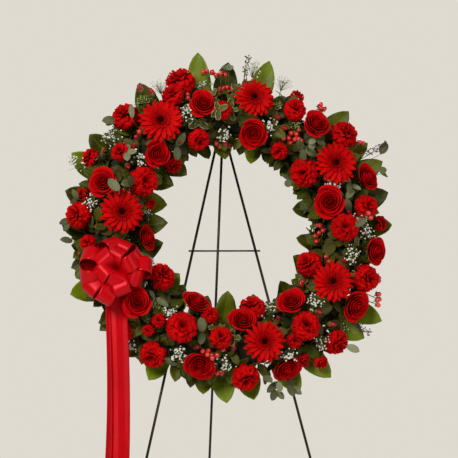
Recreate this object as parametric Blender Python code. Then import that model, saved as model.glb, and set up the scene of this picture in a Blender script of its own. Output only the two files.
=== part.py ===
# A funeral wreath of red flowers, with its satin bow, on a folding wire easel.
# Metres, +Z up, and the wreath faces -Y.
import math

import bpy
import numpy as np

for old in list(bpy.data.objects):
    bpy.data.objects.remove(old)

chance = np.random.default_rng(24)

# Driving sizes
ringRadius = 0.265
foamRadius = 0.040
backRadius = 0.034
backThick = 0.005
gap = 0.0003
leanDeg = 9.0
rearDeg = 17.0
apexHeight = 1.36
apexRise = 0.266
legSpread = 0.24
legRadius = 0.003
barRadius = 0.002
pinRise = 0.205
stemRadius = 0.002
stemEnd = 0.021
stemDeep = 0.021
ribbonWide = 0.037
ribbonThick = 0.0008
leafThick = 0.0008

lean = math.radians(leanDeg)
easelPlane = -(foamRadius + gap + backThick + gap + legRadius)
upWay = np.array([0.0, math.sin(lean), math.cos(lean)])
outWay = np.array([0.0, -math.cos(lean), math.sin(lean)])
sideWay = np.array([1.0, 0.0, 0.0])
hubHeight = apexHeight - apexRise * math.cos(lean) - easelPlane * math.sin(lean)
hub = np.array([0.0, 0.0, hubHeight])

# Where each bloom sits on the ring: clock angle in degrees, distance from the middle and width in mm
roses = [
    (102, 285, 57), (135, 230, 55), (161, 299, 60), (188, 190, 52), (218, 272, 60), (245, 190, 60),
    (256, 318, 62), (275, 212, 55), (290, 338, 60), (307, 214, 57), (326, 326, 64), (350, 328, 57),
    (14, 228, 66), (20, 330, 58), (50, 306, 60), (76, 217, 60),
]
gerberas = [
    (123, 283, 96), (176, 247, 94), (284, 268, 90), (330, 256, 90), (31, 277, 94), (79, 298, 88),
]
carnations = [
    (108, 346, 58), (113, 322, 42), (133, 338, 52), (153, 219, 56), (176, 336, 50), (216, 197, 52),
    (243, 254, 58), (238, 335, 50), (283, 190, 50), (305, 276, 54), (334, 194, 50), (338, 320, 52),
    (312, 345, 50), (274, 336, 52), (36, 206, 56), (39, 336, 55), (359, 254, 54), (61, 304, 44),
    (8, 306, 46), (224, 330, 42), (110, 208, 42), (94, 264, 38), (263, 252, 42), (255, 206, 34),
]
minis = [
    (153, 346, 33), (146, 294, 34), (131, 190, 32), (168, 334, 30), (163, 186, 22), (187, 318, 30),
    (232, 268, 26), (231, 298, 22), (57, 207, 32), (62, 346, 26), (297, 290, 28), (298, 336, 28),
    (303, 360, 26), (2, 346, 28),
]
berrySpots = [
    (91, 345), (132, 290), (162, 250), (189, 334), (263, 294), (318, 202), (54, 254),
]
airySpots = [
    (100, 336), (143, 256), (169, 306), (203, 190), (250, 300), (308, 322), (69, 250), (22, 250),
]
ovalSpots = [
    (132, 314), (171, 362), (158, 280), (119, 238), (92, 362), (62, 320), (30, 216), (12, 268),
    (352, 204), (312, 350), (222, 240),
]
variedSpots = [(86, 320), (351, 284), (228, 330), (328, 214)]
outerTips = [
    (100, 400), (90, 372), (76, 388), (44, 379), (31, 366), (23, 378), (12, 365), (0, 364),
    (327, 394), (319, 384), (302, 398), (291, 396), (276, 384), (267, 388), (259, 378), (241, 384),
    (231, 368), (215, 356), (203, 385), (187, 356), (168, 372), (155, 388), (147, 374), (122, 379),
    (180, 372),
]
innerTips = [
    (131, 148), (108, 156), (94, 151), (145, 156), (162, 150), (177, 142), (194, 157), (222, 157),
    (231, 168), (250, 164), (266, 145), (286, 158), (310, 160), (333, 149), (350, 147), (15, 142),
    (30, 160), (45, 158), (72, 146), (60, 166),
]
outerCuts = [59, 136, 224.5, 312]
innerCuts = [2.5, 52, 119.5, 185.5, 239.5, 298]
quarterCuts = [45, 135, 225, 315]
sprayCuts = [22, 68, 118, 160, 205, 250, 294, 325]

shop = bpy.data.collections.new("funeral_wreath")
bpy.context.scene.collection.children.link(shop)
toolBox = bpy.data.collections.new("cutters")
bpy.context.scene.collection.children.link(toolBox)


def unit(v):
    v = np.array(v, float)
    return v / np.linalg.norm(v)


def spot(turn, roll, depth):
    """A point round the ring's tube, in the wreath's own frame."""
    reach = ringRadius + depth * math.cos(roll)
    return np.array([reach * math.cos(turn), reach * math.sin(turn), depth * math.sin(roll)])


def outward(turn, roll):
    c = math.cos(roll)
    return np.array([c * math.cos(turn), c * math.sin(turn), math.sin(roll)])


def toRing(p):
    """The turn, roll and depth of a point in the wreath's frame."""
    reach = math.hypot(p[0], p[1])
    return (
        math.atan2(p[1], p[0]),
        math.atan2(p[2], reach - ringRadius),
        math.hypot(p[2], reach - ringRadius),
    )


def toWorld(points):
    p = np.array(points, float).reshape(-1, 3)
    return hub + p[:, :1] * sideWay + p[:, 1:2] * upWay + p[:, 2:] * outWay


def rollFor(reach, depth):
    """The roll that puts a thing at this distance from the middle when seen from the front."""
    return math.acos(max(-1.0, min(1.0, (reach - ringRadius) / depth)))


def sector(turn, cuts):
    """The number of the sector that a clock angle falls in."""
    cuts = sorted(cuts)
    for k, cut in enumerate(cuts):
        if turn < cut:
            return k
    return 0


materials = {}


def paint(name, colour, rough=0.6, metal=0.0):
    m = bpy.data.materials.new(name)
    m.use_nodes = True
    shader = m.node_tree.nodes["Principled BSDF"]
    shader.inputs["Base Color"].default_value = (*colour, 1)
    shader.inputs["Roughness"].default_value = rough
    shader.inputs["Metallic"].default_value = metal
    m.diffuse_color = (*colour, 1)
    return m


def solid(name, points, faces, world=True):
    """A closed mesh with its faces turned outward."""
    p = toWorld(points) if world else np.array(points, float)
    total = 0.0
    for f in faces:
        for k in range(1, len(f) - 1):
            total += np.dot(p[f[0]], np.cross(p[f[k]], p[f[k + 1]]))
    if total < 0:
        faces = [tuple(reversed(f)) for f in faces]
    mesh = bpy.data.meshes.new(name)
    mesh.from_pydata([tuple(v) for v in p], [], faces)
    mesh.update()
    return bpy.data.objects.new(name, mesh)


def between(first, n, second, m):
    """Faces between two rings of points, where one may have a whole number of times the other's points."""
    faces = []
    if m == 1:
        return [(first + k, first + (k + 1) % n, second) for k in range(n)]
    if n == m:
        for k in range(n):
            j = (k + 1) % n
            faces.append((first + k, first + j, second + j, second + k))
        return faces
    if n > m:
        return [tuple(reversed(f)) for f in between(second, m, first, n)]
    times = m // n
    for k in range(n):
        for q in range(times - 1):
            a = second + k * times + q
            faces.append((first + k, a + 1, a))
        last = second + k * times + times - 1
        after = second + ((k + 1) * times) % m
        faces.append((first + k, first + (k + 1) % n, after, last))
    return faces


def loft(name, rings, world=True):
    """A closed skin over rings of points, with flat ends."""
    points = np.concatenate([np.array(r, float).reshape(-1, 3) for r in rings])
    counts = [len(np.array(r).reshape(-1, 3)) for r in rings]
    starts = np.concatenate([[0], np.cumsum(counts)[:-1]]).tolist()
    faces = []
    if counts[0] > 2:
        faces.append(tuple(reversed(range(starts[0], starts[0] + counts[0]))))
    for k in range(len(rings) - 1):
        faces += between(starts[k], counts[k], starts[k + 1], counts[k + 1])
    if counts[-1] > 2:
        faces.append(tuple(range(starts[-1], starts[-1] + counts[-1])))
    return solid(name, points, faces, world)


def across(way):
    """Two directions square to a third."""
    helper = np.array([0.0, 0.0, 1.0]) if abs(way[2]) < 0.9 else np.array([1.0, 0.0, 0.0])
    first = unit(np.cross(helper, way))
    return first, np.cross(way, first)


def tubeRings(path, radius, sides, twist=0.0):
    """Rings along a path, each mitred between its two neighbours."""
    path = [np.array(p, float) for p in path]
    ways = [unit(path[k + 1] - path[k]) for k in range(len(path) - 1)]
    first, second = across(ways[0])
    rings = []
    for k, p in enumerate(path):
        before = ways[max(0, k - 1)]
        after = ways[min(k, len(ways) - 1)]
        mid = unit(before + after)
        if k > 0:
            first = unit(first - np.dot(first, before) * before)
            second = np.cross(before, first)
        ring = []
        for j in range(sides):
            a = twist + 2 * math.pi * j / sides
            q = radius * (math.cos(a) * first + math.sin(a) * second)
            q = q - before * (np.dot(q, mid) / np.dot(before, mid))
            ring.append(p + q)
        rings.append(np.array(ring))
    return rings


def tube(name, path, radius, sides, world=True):
    return loft(name, tubeRings(path, radius, sides), world)


def finish(name, thing, material, smooth=True):
    thing.name = name
    thing.data.name = name
    thing.data.materials.clear()
    thing.data.materials.append(material)
    for f in thing.data.polygons:
        f.use_smooth = smooth
    shop.objects.link(thing)
    return thing


def fuse(name, pieces):
    """One body out of pieces whose roots are sunk in one another."""
    if len(pieces) == 1:
        return pieces[0]
    pile = bpy.data.collections.new(name + "_pieces")
    bpy.context.scene.collection.children.link(pile)
    base = pieces[0]
    bpy.context.scene.collection.objects.link(base)
    for p in pieces[1:]:
        pile.objects.link(p)
    union = base.modifiers.new("join", "BOOLEAN")
    union.operation = "UNION"
    union.operand_type = "COLLECTION"
    union.collection = pile
    union.solver = "EXACT"
    bpy.context.view_layer.update()
    mesh = bpy.data.meshes.new_from_object(base.evaluated_get(bpy.context.evaluated_depsgraph_get()))
    for p in list(pile.objects):
        bpy.data.objects.remove(p)
    bpy.data.collections.remove(pile)
    bpy.data.objects.remove(base)
    return bpy.data.objects.new(name, mesh)


# Space that is already taken, as round-ended rods: start, end, radius and owner
rodStarts = []
rodEnds = []
rodRadii = []
rodOwners = []


def claim(a, b, radius, owner):
    rodStarts.append(np.array(a, float))
    rodEnds.append(np.array(b, float))
    rodRadii.append(radius)
    rodOwners.append(owner)


def clearOf(a, b, radius, owner, spare=0.0007):
    """True where a round-ended rod keeps clear of all that other owners claimed."""
    keep = np.array([o != owner for o in rodOwners])
    if not keep.any():
        return True
    p = np.array(rodStarts)[keep]
    q = np.array(rodEnds)[keep]
    r = np.array(rodRadii)[keep]
    return bool((rodGap(a, b, p, q) > r + radius + spare).all())


def rodGap(a, b, p, q):
    """The least distance between one line piece and each of many."""
    a = np.array(a, float)
    b = np.array(b, float)
    u = b - a
    v = q - p
    w = a - p
    uu = max(float(u @ u), 1e-14)
    vv = np.maximum((v * v).sum(1), 1e-14)
    uv = v @ u
    uw = w @ u
    vw = (v * w).sum(1)
    den = np.maximum(uu * vv - uv * uv, 1e-16)
    s = np.clip((uv * vw - vv * uw) / den, 0, 1)
    t = np.clip((uv * s + vw) / vv, 0, 1)
    s = np.clip((uv * t - uw) / uu, 0, 1)
    return np.linalg.norm(a + s[:, None] * u - p - t[:, None] * v, axis=1)


# Blooms are settled by pushing apart any two that would touch
heads = []
for kind, rows in (("rose", roses), ("gerbera", gerberas), ("carnation", carnations), ("mini", minis)):
    for k, (clock, reach, wide) in enumerate(rows):
        size = wide / 2000
        depth = 0.088 if kind == "gerbera" else 0.0565 + size
        reach = reach / 1000
        roll = max(rollFor(reach, depth), math.radians(14))
        if abs(reach - ringRadius) > depth * math.cos(math.radians(14)):
            depth = abs(reach - ringRadius) / math.cos(math.radians(14))
        if kind == "gerbera":
            roll = math.radians(90) + (roll - math.radians(90)) * 0.9
        place = spot(math.radians(clock), roll, depth)
        heads.append({"kind": kind, "number": k + 1, "size": size, "place": place, "home": place.copy()})

bowTurn = math.radians(198)
bowRoll = math.radians(88)
bowMiddle = spot(bowTurn, bowRoll, 0.086)
bowAxis = unit(outward(bowTurn, bowRoll) + 0.2 * np.array([0, 0, 1.0]))


def faceWay(place):
    """The way a bloom looks: outward from the tube, leaning to the front."""
    turn, roll, depth = toRing(place)
    return unit(outward(turn, roll) + np.array([0, 0, 0.4]))


def balls(head):
    """The balls that a bloom's room is made of: offsets and radii."""
    if head["kind"] != "gerbera":
        return np.zeros((1, 3)), np.array([head["size"]])
    way = faceWay(head["place"])
    first, second = across(way)
    rows = [way * -0.004]
    radii = [0.014]
    for count, far, radius in ((16, head["size"] - 0.0085, 0.0085), (9, 0.022, 0.010)):
        for j in range(count):
            a = 2 * math.pi * j / count
            rows.append(far * (math.cos(a) * first + math.sin(a) * second) + way * 0.002)
            radii.append(radius)
    return np.array(rows), np.array(radii)


# Two satin streamers start behind the bow's loops, pass in front of the blooms below and hang plumb
down = -np.array([0.0, math.cos(lean), math.sin(lean)])


def streamerPath(side):
    """The middle line of a streamer in the wreath's frame."""
    along = bowMiddle[0] - 0.003 + side * 0.0095
    ahead = -0.0035 if side > 0 else 0.0
    tuck = 0.0024 if side > 0 else 0.0006
    points = [np.array([bowMiddle[0] + side * 0.006, bowMiddle[1] - tuck, 0.0640 + ahead])]
    points.append(np.array([along, bowMiddle[1] - 0.035, 0.0645 + ahead]))
    start = np.array([along, bowMiddle[1] - 0.072, 0.0730 + ahead])
    for k in range(8):
        t = k / 7
        sway = 0.006 * math.sin(t * 3.0) + side * 0.004 * t
        wave = 0.003 * math.sin(t * 8.0)
        points.append(start + down * 0.400 * t + np.array([sway, 0.0, wave]))
    return points


def bowBalls():
    first, second = across(bowAxis)
    rows = [bowMiddle]
    radii = [0.030]
    for j in range(10):
        a = 2 * math.pi * j / 10
        rows.append(bowMiddle + 0.049 * (math.cos(a) * first + math.sin(a) * second))
        radii.append(0.024)
    for side in (-1, 1):
        path = streamerPath(side)
        for a, b in zip(path[:6], path[1:7]):
            for t in (0.0, 0.25, 0.5, 0.75):
                for shove in (-0.014, 0.0, 0.014):
                    rows.append(a + (b - a) * t + np.array([shove, 0.0, -0.002]))
                    radii.append(0.0070)
    return np.array(rows), np.array(radii)


def settle(rounds):
    """Push overlapping blooms apart until none touch, drawing each softly to its home."""
    fixed, fixedRadii = bowBalls()
    for step in range(rounds):
        rows = []
        radii = []
        owners = []
        for k, h in enumerate(heads):
            off, r = balls(h)
            rows.append(h["place"] + off)
            radii.append(r)
            owners += [k] * len(r)
        p = np.concatenate(rows)
        r = np.concatenate(radii)
        o = np.array(owners)
        move = np.zeros((len(heads), 3))
        apart = p[:, None] - p[None]
        far = np.linalg.norm(apart, axis=2) + 1e-9
        deep = r[:, None] + r[None] + 0.0012 - far
        deep[o[:, None] == o[None]] = 0
        deep = np.maximum(deep, 0)
        worst = float(deep.max())
        push = (apart / far[..., None]) * deep[..., None] * 0.35
        for k in range(len(heads)):
            rowsOf = push[o == k].reshape(-1, 3)
            used = rowsOf[np.abs(rowsOf).sum(1) > 0]
            if len(used):
                move[k] += used.sum(0) / max(1.0, len(used) ** 0.5)
        toBow = p[:, None] - fixed[None]
        farBow = np.linalg.norm(toBow, axis=2) + 1e-9
        deepBow = np.maximum(r[:, None] + fixedRadii[None] + 0.0012 - farBow, 0)
        worst = max(worst, float(deepBow.max()))
        pushBow = (toBow / farBow[..., None] * deepBow[..., None]).sum(1) * 0.6
        for k in range(len(heads)):
            move[k] += pushBow[o == k].sum(0)
        for k, h in enumerate(heads):
            turn, roll, depth = toRing(h["place"])
            way = outward(turn, roll)
            low = spot(turn, roll, 0.043)
            high = h["place"] - way * h["size"] * 0.5
            along = high - low
            t = np.clip(((p - low) @ along) / max(along @ along, 1e-9), 0, 1)
            away = p - low - t[:, None] * along
            dist = np.linalg.norm(away, axis=1) + 1e-9
            short = np.maximum(r + stemRadius + 0.001 - dist, 0)
            short[o == k] = 0
            worst = max(worst, float(short.max()))
            for j in np.nonzero(short > 0)[0]:
                shove = away[j] / dist[j] * short[j]
                move[o[j]] += shove * 0.35
                move[k] -= shove * 0.35
        for k, h in enumerate(heads):
            pull = 0.04 if step < rounds * 0.6 else 0.0
            h["place"] = h["place"] + move[k] + pull * (h["home"] - h["place"])
            turn, roll, depth = toRing(h["place"])
            roll = min(max(roll, math.radians(12)), math.radians(166))
            least = 0.082 if h["kind"] == "gerbera" else 0.0555 + h["size"]
            h["place"] = spot(turn, roll, max(depth, least))
    return worst


worst = settle(500)
print(f"blooms settled: {len(heads)}, deepest touch {worst * 1000:.2f} mm")
drift = [np.linalg.norm((h["place"] - h["home"])[:2]) for h in heads]
print(f"drift: mean {np.mean(drift) * 1000:.1f} mm, most {np.max(drift) * 1000:.1f} mm")


def petalRing(head, samples, reach, rise, wave, lift, turn):
    """One ring of a bloom: waves in reach and in height from petal to petal."""
    way = head["way"]
    first, second = head["across"]
    size = head["size"]
    ring = []
    for j in range(samples):
        a = 2 * math.pi * j / samples + turn
        high = 1.0 if j % 2 == 0 else -1.0
        out = size * (reach + wave * high)
        up = size * (rise + lift * high)
        ring.append(head["place"] + way * up + out * (math.cos(a) * first + math.sin(a) * second))
    return np.array(ring)


def stemRing(head, samples, point, radius, turn=0.0):
    first, second = head["across"]
    ring = []
    for j in range(samples):
        a = 2 * math.pi * j / samples + turn
        ring.append(point + radius * (math.cos(a) * first + math.sin(a) * second))
    return np.array(ring)


def bloom(head):
    """A bloom and its stem as one skin, its petals in layers with hollows between them."""
    samples = head["samples"]
    rings = [stemRing(head, samples // 2, head["foot"], head["stem"])]
    rings.append(stemRing(head, samples // 2, head["neck"], head["stem"]))
    for reach, rise, wave, lift, turn in head["layers"]:
        rings.append(petalRing(head, samples, reach, rise, wave, lift, turn))
    rings.append(head["place"] + head["way"] * head["size"] * head["top"])
    return loft("bloom", rings)


# Each layer: reach and rise in bloom sizes, how far reach and rise wave, and its turn
roseLayers = [
    (0.80, -0.38, 0.02, 0.0, 0.05), (0.94, 0.16, 0.05, 0.03, 0.12),
    (0.66, -0.02, 0.0, 0.0, 0.30), (0.67, 0.44, 0.05, -0.04, 0.42), (0.42, 0.22, 0.0, 0.0, 0.60),
    (0.40, 0.68, 0.05, 0.04, 0.75),
]
fullLayers = [
    (0.89, -0.08, 0.09, 0.10, 0.0), (0.60, 0.02, 0.0, 0.0, 0.1), (0.68, 0.46, 0.09, -0.10, 0.2),
    (0.34, 0.36, 0.0, 0.0, 0.3), (0.33, 0.80, 0.10, 0.06, 0.4),
]
middleLayers = [
    (0.88, -0.02, 0.10, 0.10, 0.0), (0.52, 0.12, 0.0, 0.0, 0.15), (0.55, 0.66, 0.10, -0.08, 0.3),
]

for h in heads:
    turn, roll, depth = toRing(h["place"])
    h["turn"] = turn % (2 * math.pi)
    h["roll"] = roll
    h["depth"] = depth
    h["way"] = faceWay(h["place"])
    h["across"] = across(h["way"])
    h["neck"] = h["place"] - h["way"] * h["size"] * (0.28 if h["kind"] == "gerbera" else 0.97)
    entry = spot(turn, roll, 0.0430)
    h["foot"] = entry + unit(entry - h["neck"]) * stemDeep
    h["stem"] = stemRadius
    h["inFoam"] = True
    if h["kind"] == "rose":
        h["samples"] = 10
        h["layers"] = roseLayers
        h["top"] = 0.46
    elif h["kind"] == "carnation":
        h["samples"] = 10 if h["size"] > 0.0265 else 8
        h["layers"] = fullLayers if h["size"] > 0.0265 else middleLayers
        h["top"] = 0.56 if h["size"] > 0.0265 else 0.36
    elif h["kind"] == "mini":
        h["samples"] = 6
        h["layers"] = middleLayers
        h["top"] = 0.40
    h["owner"] = f"{h['kind']}_{h['number']:02d}"


def gerberaSkin(head, petals=15):
    """A gerbera: a wide layer of ray petals, a shorter one over it and a domed eye."""
    way = head["way"]
    first, second = head["across"]
    place = head["place"]
    size = head["size"]

    def ring(samples, reaches, rises, turn=0.0):
        rows = []
        for j in range(samples):
            a = 2 * math.pi * j / samples + turn
            out = reaches[j % len(reaches)] * size
            up = rises[j % len(rises)] * size
            rows.append(place + way * up + out * (math.cos(a) * first + math.sin(a) * second))
        return np.array(rows)

    tip = [0.50, 0.96, 0.97]
    droop = [0.02, 0.10, 0.07]
    thick = 0.0009 / size
    low = ring(petals * 3, tip, droop)
    high = ring(petals * 3, tip, [d + thick for d in droop])
    half = math.pi / petals * 0.9
    tip2 = [0.36, 0.72]
    upper = ring(petals * 2, tip2, [0.11, 0.21], half)
    rings = [
        stemRing(head, petals // 3, head["foot"], head["stem"]),
        stemRing(head, petals // 3, head["neck"], head["stem"]),
        low,
        high,
        ring(petals, [0.30], [0.075], half * 0.5),
        upper,
        ring(petals, [0.20], [0.16], half),
        place + way * size * 0.20,
    ]
    return loft("bloom", rings)


for h in heads:
    off, r = balls(h)
    for row, radius in zip(off, r):
        claim(h["place"] + row, h["place"] + row, radius - 0.0006, h["owner"])
    claim(spot(h["turn"], h["roll"], 0.0430), h["neck"], stemRadius, h["owner"])
bowRows, bowRadii = bowBalls()
for row, radius in zip(bowRows, bowRadii):
    claim(row, row, radius, "bow")
claim(spot(bowTurn, bowRoll, 0.041), bowMiddle, 0.003, "bow")

def ribbon(name, path, widths, faceNormal, thick=ribbonThick, world=True):
    """A flat band along a path. Its width lies square to the path and to the face normal."""
    rings = []
    path = [np.array(p, float) for p in path]
    for k, p in enumerate(path):
        ahead = unit(path[min(k + 1, len(path) - 1)] - path[max(k - 1, 0)])
        normal = np.array(faceNormal[k] if isinstance(faceNormal, list) else faceNormal, float)
        wide = unit(np.cross(normal, ahead))
        square = unit(np.cross(ahead, wide))
        w = widths[k] / 2
        t = thick / 2
        rings.append(
            np.array([p - wide * w - square * t, p + wide * w - square * t,
                      p + wide * w + square * t, p - wide * w + square * t])
        )
    return loft(name, rings, world)


def networkLinks(items, depth, radius, owner, anchors=None):
    """Join the feet of a spray in a thin layer over the foam, each to its nearest, keeping clear."""
    if not items:
        return [], []
    joined = list(anchors) if anchors else [items[0]]
    todo = list(items) if anchors else list(items[1:])
    kept = [] if anchors else [items[0]]
    paths = []
    while todo:
        best = None
        for i, a in enumerate(todo):
            for b in joined:
                turn = (a["turn"] - b["turn"] + math.pi) % (2 * math.pi) - math.pi
                d = math.hypot(turn * ringRadius, (a["roll"] - b["roll"]) * depth)
                if (i, id(b)) in a.setdefault("tried", set()):
                    continue
                if best is None or d < best[0]:
                    best = (d, i, b, turn)
        if best is None:
            break
        d, i, b, turn = best
        a = todo[i]
        found = None
        for bend in (0, 7, -7, 14, -14, 21, -21, 30, -30):
            for slide in (0, 1.5, -1.5, 3, -3):
                path = linkPath(b, a, turn, depth, bend, slide)
                if all(clearOf(p, q, radius, owner) for p, q in zip(path[:-1], path[1:])):
                    found = path
                    break
            if found is not None:
                break
        if found is None:
            a["tried"] = a["tried"] | {(i, id(b))}
            if all((i, id(c)) in a["tried"] for c in joined):
                print(f"no way to join {owner} at {math.degrees(a['turn']):.0f}")
                todo.pop(i)
                for other in todo:
                    other["tried"] = set()
            continue
        for p, q in zip(found[:-1], found[1:]):
            claim(p, q, radius, owner)
        paths.append(found)
        joined.append(a)
        kept.append(a)
        todo.pop(i)
        for other in todo:
            other["tried"] = set()
    return paths, kept


def linkPath(b, a, turn, depth, bend, slide):
    """A path over the foam between two feet, bowed to one side to pass what is in the way."""
    pieces = max(abs(turn) / math.radians(11), abs(a["roll"] - b["roll"]) / math.radians(28))
    count = max(1 if bend == 0 and slide == 0 else 2, math.ceil(pieces))
    path = []
    for k in range(count + 1):
        t = k / count
        bow = math.sin(math.pi * t)
        path.append(
            spot(
                b["turn"] + turn * t + math.radians(slide) * bow,
                b["roll"] + (a["roll"] - b["roll"]) * t + math.radians(bend) * bow,
                b["sunk"] if k == 0 and "sunk" in b else depth,
            )
        )
    return path


# Carnations grow in branched sprays: a spray's stems meet in a thin layer over the foam
sprayDepth = 0.0446
sprays = [[] for k in sprayCuts]
for h in heads:
    if h["kind"] in ("carnation", "mini"):
        sprays[sector(math.degrees(h["turn"]), sprayCuts)].append(h)
sprayLinks = []
for k, members in enumerate(sprays):
    owner = f"carnation_spray_{k + 1}"
    for h in members:
        for j in range(len(rodOwners)):
            if rodOwners[j] == h["owner"]:
                rodOwners[j] = owner
        h["owner"] = owner
for k, members in enumerate(sprays):
    owner = f"carnation_spray_{k + 1}"
    mid = members[len(members) // 2]
    members.sort(key=lambda h: abs(h["turn"] - mid["turn"]))
    paths, kept = networkLinks(members, sprayDepth, 0.0012, owner)
    for h in members:
        h["inFoam"] = h is members[0]
        if not h["inFoam"]:
            h["foot"] = spot(h["turn"], h["roll"], sprayDepth - 0.0008)
    sprayLinks.append(paths)
    print(f"{owner}: {len(members)} blooms, {len(kept)} joined")


def flatLeaf(name, base, along, side, length, width, outline, bend, cup, thick=leafThick, wave=0.0):
    """A leaf as a thin plate: a narrow root, an outline on each side, a tip, and a folded midrib."""
    along = unit(along)
    side = unit(side - np.dot(side, along) * along)
    normal = np.cross(along, side)

    def surface(t, s):
        lift = bend * t * t * length + cup * abs(s) * width
        if wave:
            lift += wave * math.sin(t * 14) * abs(s) * 2
        return base + along * t * length + side * s * width + normal * lift

    rim = [(0.0, 0.0)]
    rim += [(t, s) for t, s in outline]
    rim.append((1.0, 0.0))
    rim += [(t, -s) for t, s in reversed(outline)]
    n = len(rim)
    points = []
    for off in (thick / 2, -thick / 2):
        for t, s in rim:
            points.append(surface(t, s) + normal * off)
        points.append(surface(0.5, 0.0) + normal * off)
    faces = []
    for k in range(n):
        j = (k + 1) % n
        faces.append((k, j, n))
        faces.append((n + 1 + j, n + 1 + k, 2 * n + 1))
        faces.append((k, n + 1 + k, n + 1 + j, j))
    return solid(name, np.array(points), faces)


salalOutline = [(0.24, 0.28), (0.50, 0.50), (0.78, 0.30)]
ovalOutline = [(0.34, 0.44), (0.74, 0.42)]
variedOutline = [(0.34, 0.44), (0.72, 0.42)]


def leafPoints(base, along, side, length, width, bend):
    """Sample points over a leaf, for testing whether its room is free."""
    along = unit(along)
    side = unit(side - np.dot(side, along) * along)
    normal = np.cross(along, side)
    rows = []
    for t in (0.12, 0.32, 0.52, 0.72, 0.95):
        half = width * (0.5 if 0.3 < t < 0.8 else 0.24)
        for s in (-1, -0.5, 0, 0.5, 1):
            rows.append(base + along * t * length + side * s * half + normal * bend * t * t * length)
    return rows


def branchTurns(low, high, leaves):
    """The turns of a branch's points: one at each leaf, and more where two are far apart."""
    turns = [low]
    for a in list(leaves) + [high]:
        count = max(1, math.ceil((a - turns[-1]) / math.radians(12)))
        start = turns[-1]
        turns += [start + (a - start) * j / count for j in range(1, count + 1)]
    return turns


# Salal leaves round the outer edge, each on a branch that lies behind the blooms
branchRoll = math.radians(-42)
outerDepth = 0.0395
salalOuter = [[] for k in outerCuts]
for clock, tip in outerTips:
    salalOuter[sector(clock, outerCuts)].append((math.radians(clock), tip / 1000))
outerBodies = []
for k, leaves in enumerate(salalOuter):
    mid = leaves[0][0]
    rel = sorted(((a - mid + math.pi) % (2 * math.pi) - math.pi, tip) for a, tip in leaves)
    pieces = []
    low, high = rel[0][0] - 0.01, rel[-1][0] + 0.01
    path = [spot(mid + a, branchRoll, outerDepth) for a in branchTurns(low, high, [a for a, tip in rel])]
    pieces.append(tube("branch", path, 0.0020, 3))
    for j, (a, tip) in enumerate(rel):
        a = a + mid
        base = spot(a, branchRoll, outerDepth)
        skew = chance.uniform(-0.16, 0.16)
        along = np.array([math.cos(a + skew), math.sin(a + skew), 0.03 + 0.05 * (j % 2)])
        side = np.array([-math.sin(a), math.cos(a), chance.uniform(-0.14, 0.14)])
        length = tip - math.hypot(base[0], base[1])
        length = length / math.cos(skew)
        width = min(0.058, max(0.034, length * 0.62))
        bend = 0.03 if j % 2 == 0 else -0.02
        pieces.append(flatLeaf("leaf", base, along, side, length, width, salalOutline, bend, 0.05))
        for p in leafPoints(base, along, side, length, width, bend):
            claim(p, p, 0.002, f"salal_outer_{k + 1}")
    outerBodies.append(pieces)

# Salal leaves round the hole, on branches along the inner edge
innerRoll = math.radians(222)
innerDepth = 0.0406
greenDepth = 0.0477
innerSectors = [{"pieces": [], "anchors": []} for k in innerCuts]
tips = [[] for k in innerCuts]
for clock, tip in innerTips:
    tips[sector(clock, innerCuts)].append((math.radians(clock), tip / 1000))
for k, leaves in enumerate(tips):
    mid = leaves[0][0]
    rel = sorted(((a - mid + math.pi) % (2 * math.pi) - math.pi, tip) for a, tip in leaves)
    low, high = rel[0][0] - 0.02, rel[-1][0] + 0.02
    owner = f"greens_{k + 1}"
    path = [spot(mid + a, innerRoll, innerDepth) for a in branchTurns(low, high, [a for a, tip in rel])]
    innerSectors[k]["pieces"].append(tube("branch", path, 0.0020, 3))
    for j, (a, tip) in enumerate(rel):
        a = a + mid
        base = spot(a, innerRoll, innerDepth)
        innerSectors[k]["anchors"].append({"turn": a, "roll": innerRoll, "sunk": innerDepth})
        skew = chance.uniform(-0.2, 0.2)
        along = -np.array([math.cos(a + skew), math.sin(a + skew), -0.05 - 0.10 * (j % 2)])
        side = np.array([-math.sin(a), math.cos(a), chance.uniform(-0.14, 0.14)])
        length = (math.hypot(base[0], base[1]) - tip) / math.cos(skew)
        width = min(0.046, max(0.030, length * 0.60))
        innerSectors[k]["pieces"].append(
            flatLeaf("leaf", base, along, side, length, width, salalOutline, 0.03, 0.06)
        )
        for p in leafPoints(base, along, side, length, width, 0.03):
            claim(p, p, 0.002, owner)


def tryFoot(clock, reach, top, rounds, spread):
    """Feet near where the photo shows a thing, each try a little farther out than the last."""
    for k in range(rounds):
        grow = spread * (k / rounds) ** 0.7
        turn = math.radians(clock + chance.uniform(-1, 1) * grow * 4)
        roll = rollFor(reach / 1000, top)
        roll = min(max(roll + math.radians(chance.uniform(-1, 1) * grow * 16), 0.10), 3.0)
        yield turn, roll


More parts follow.
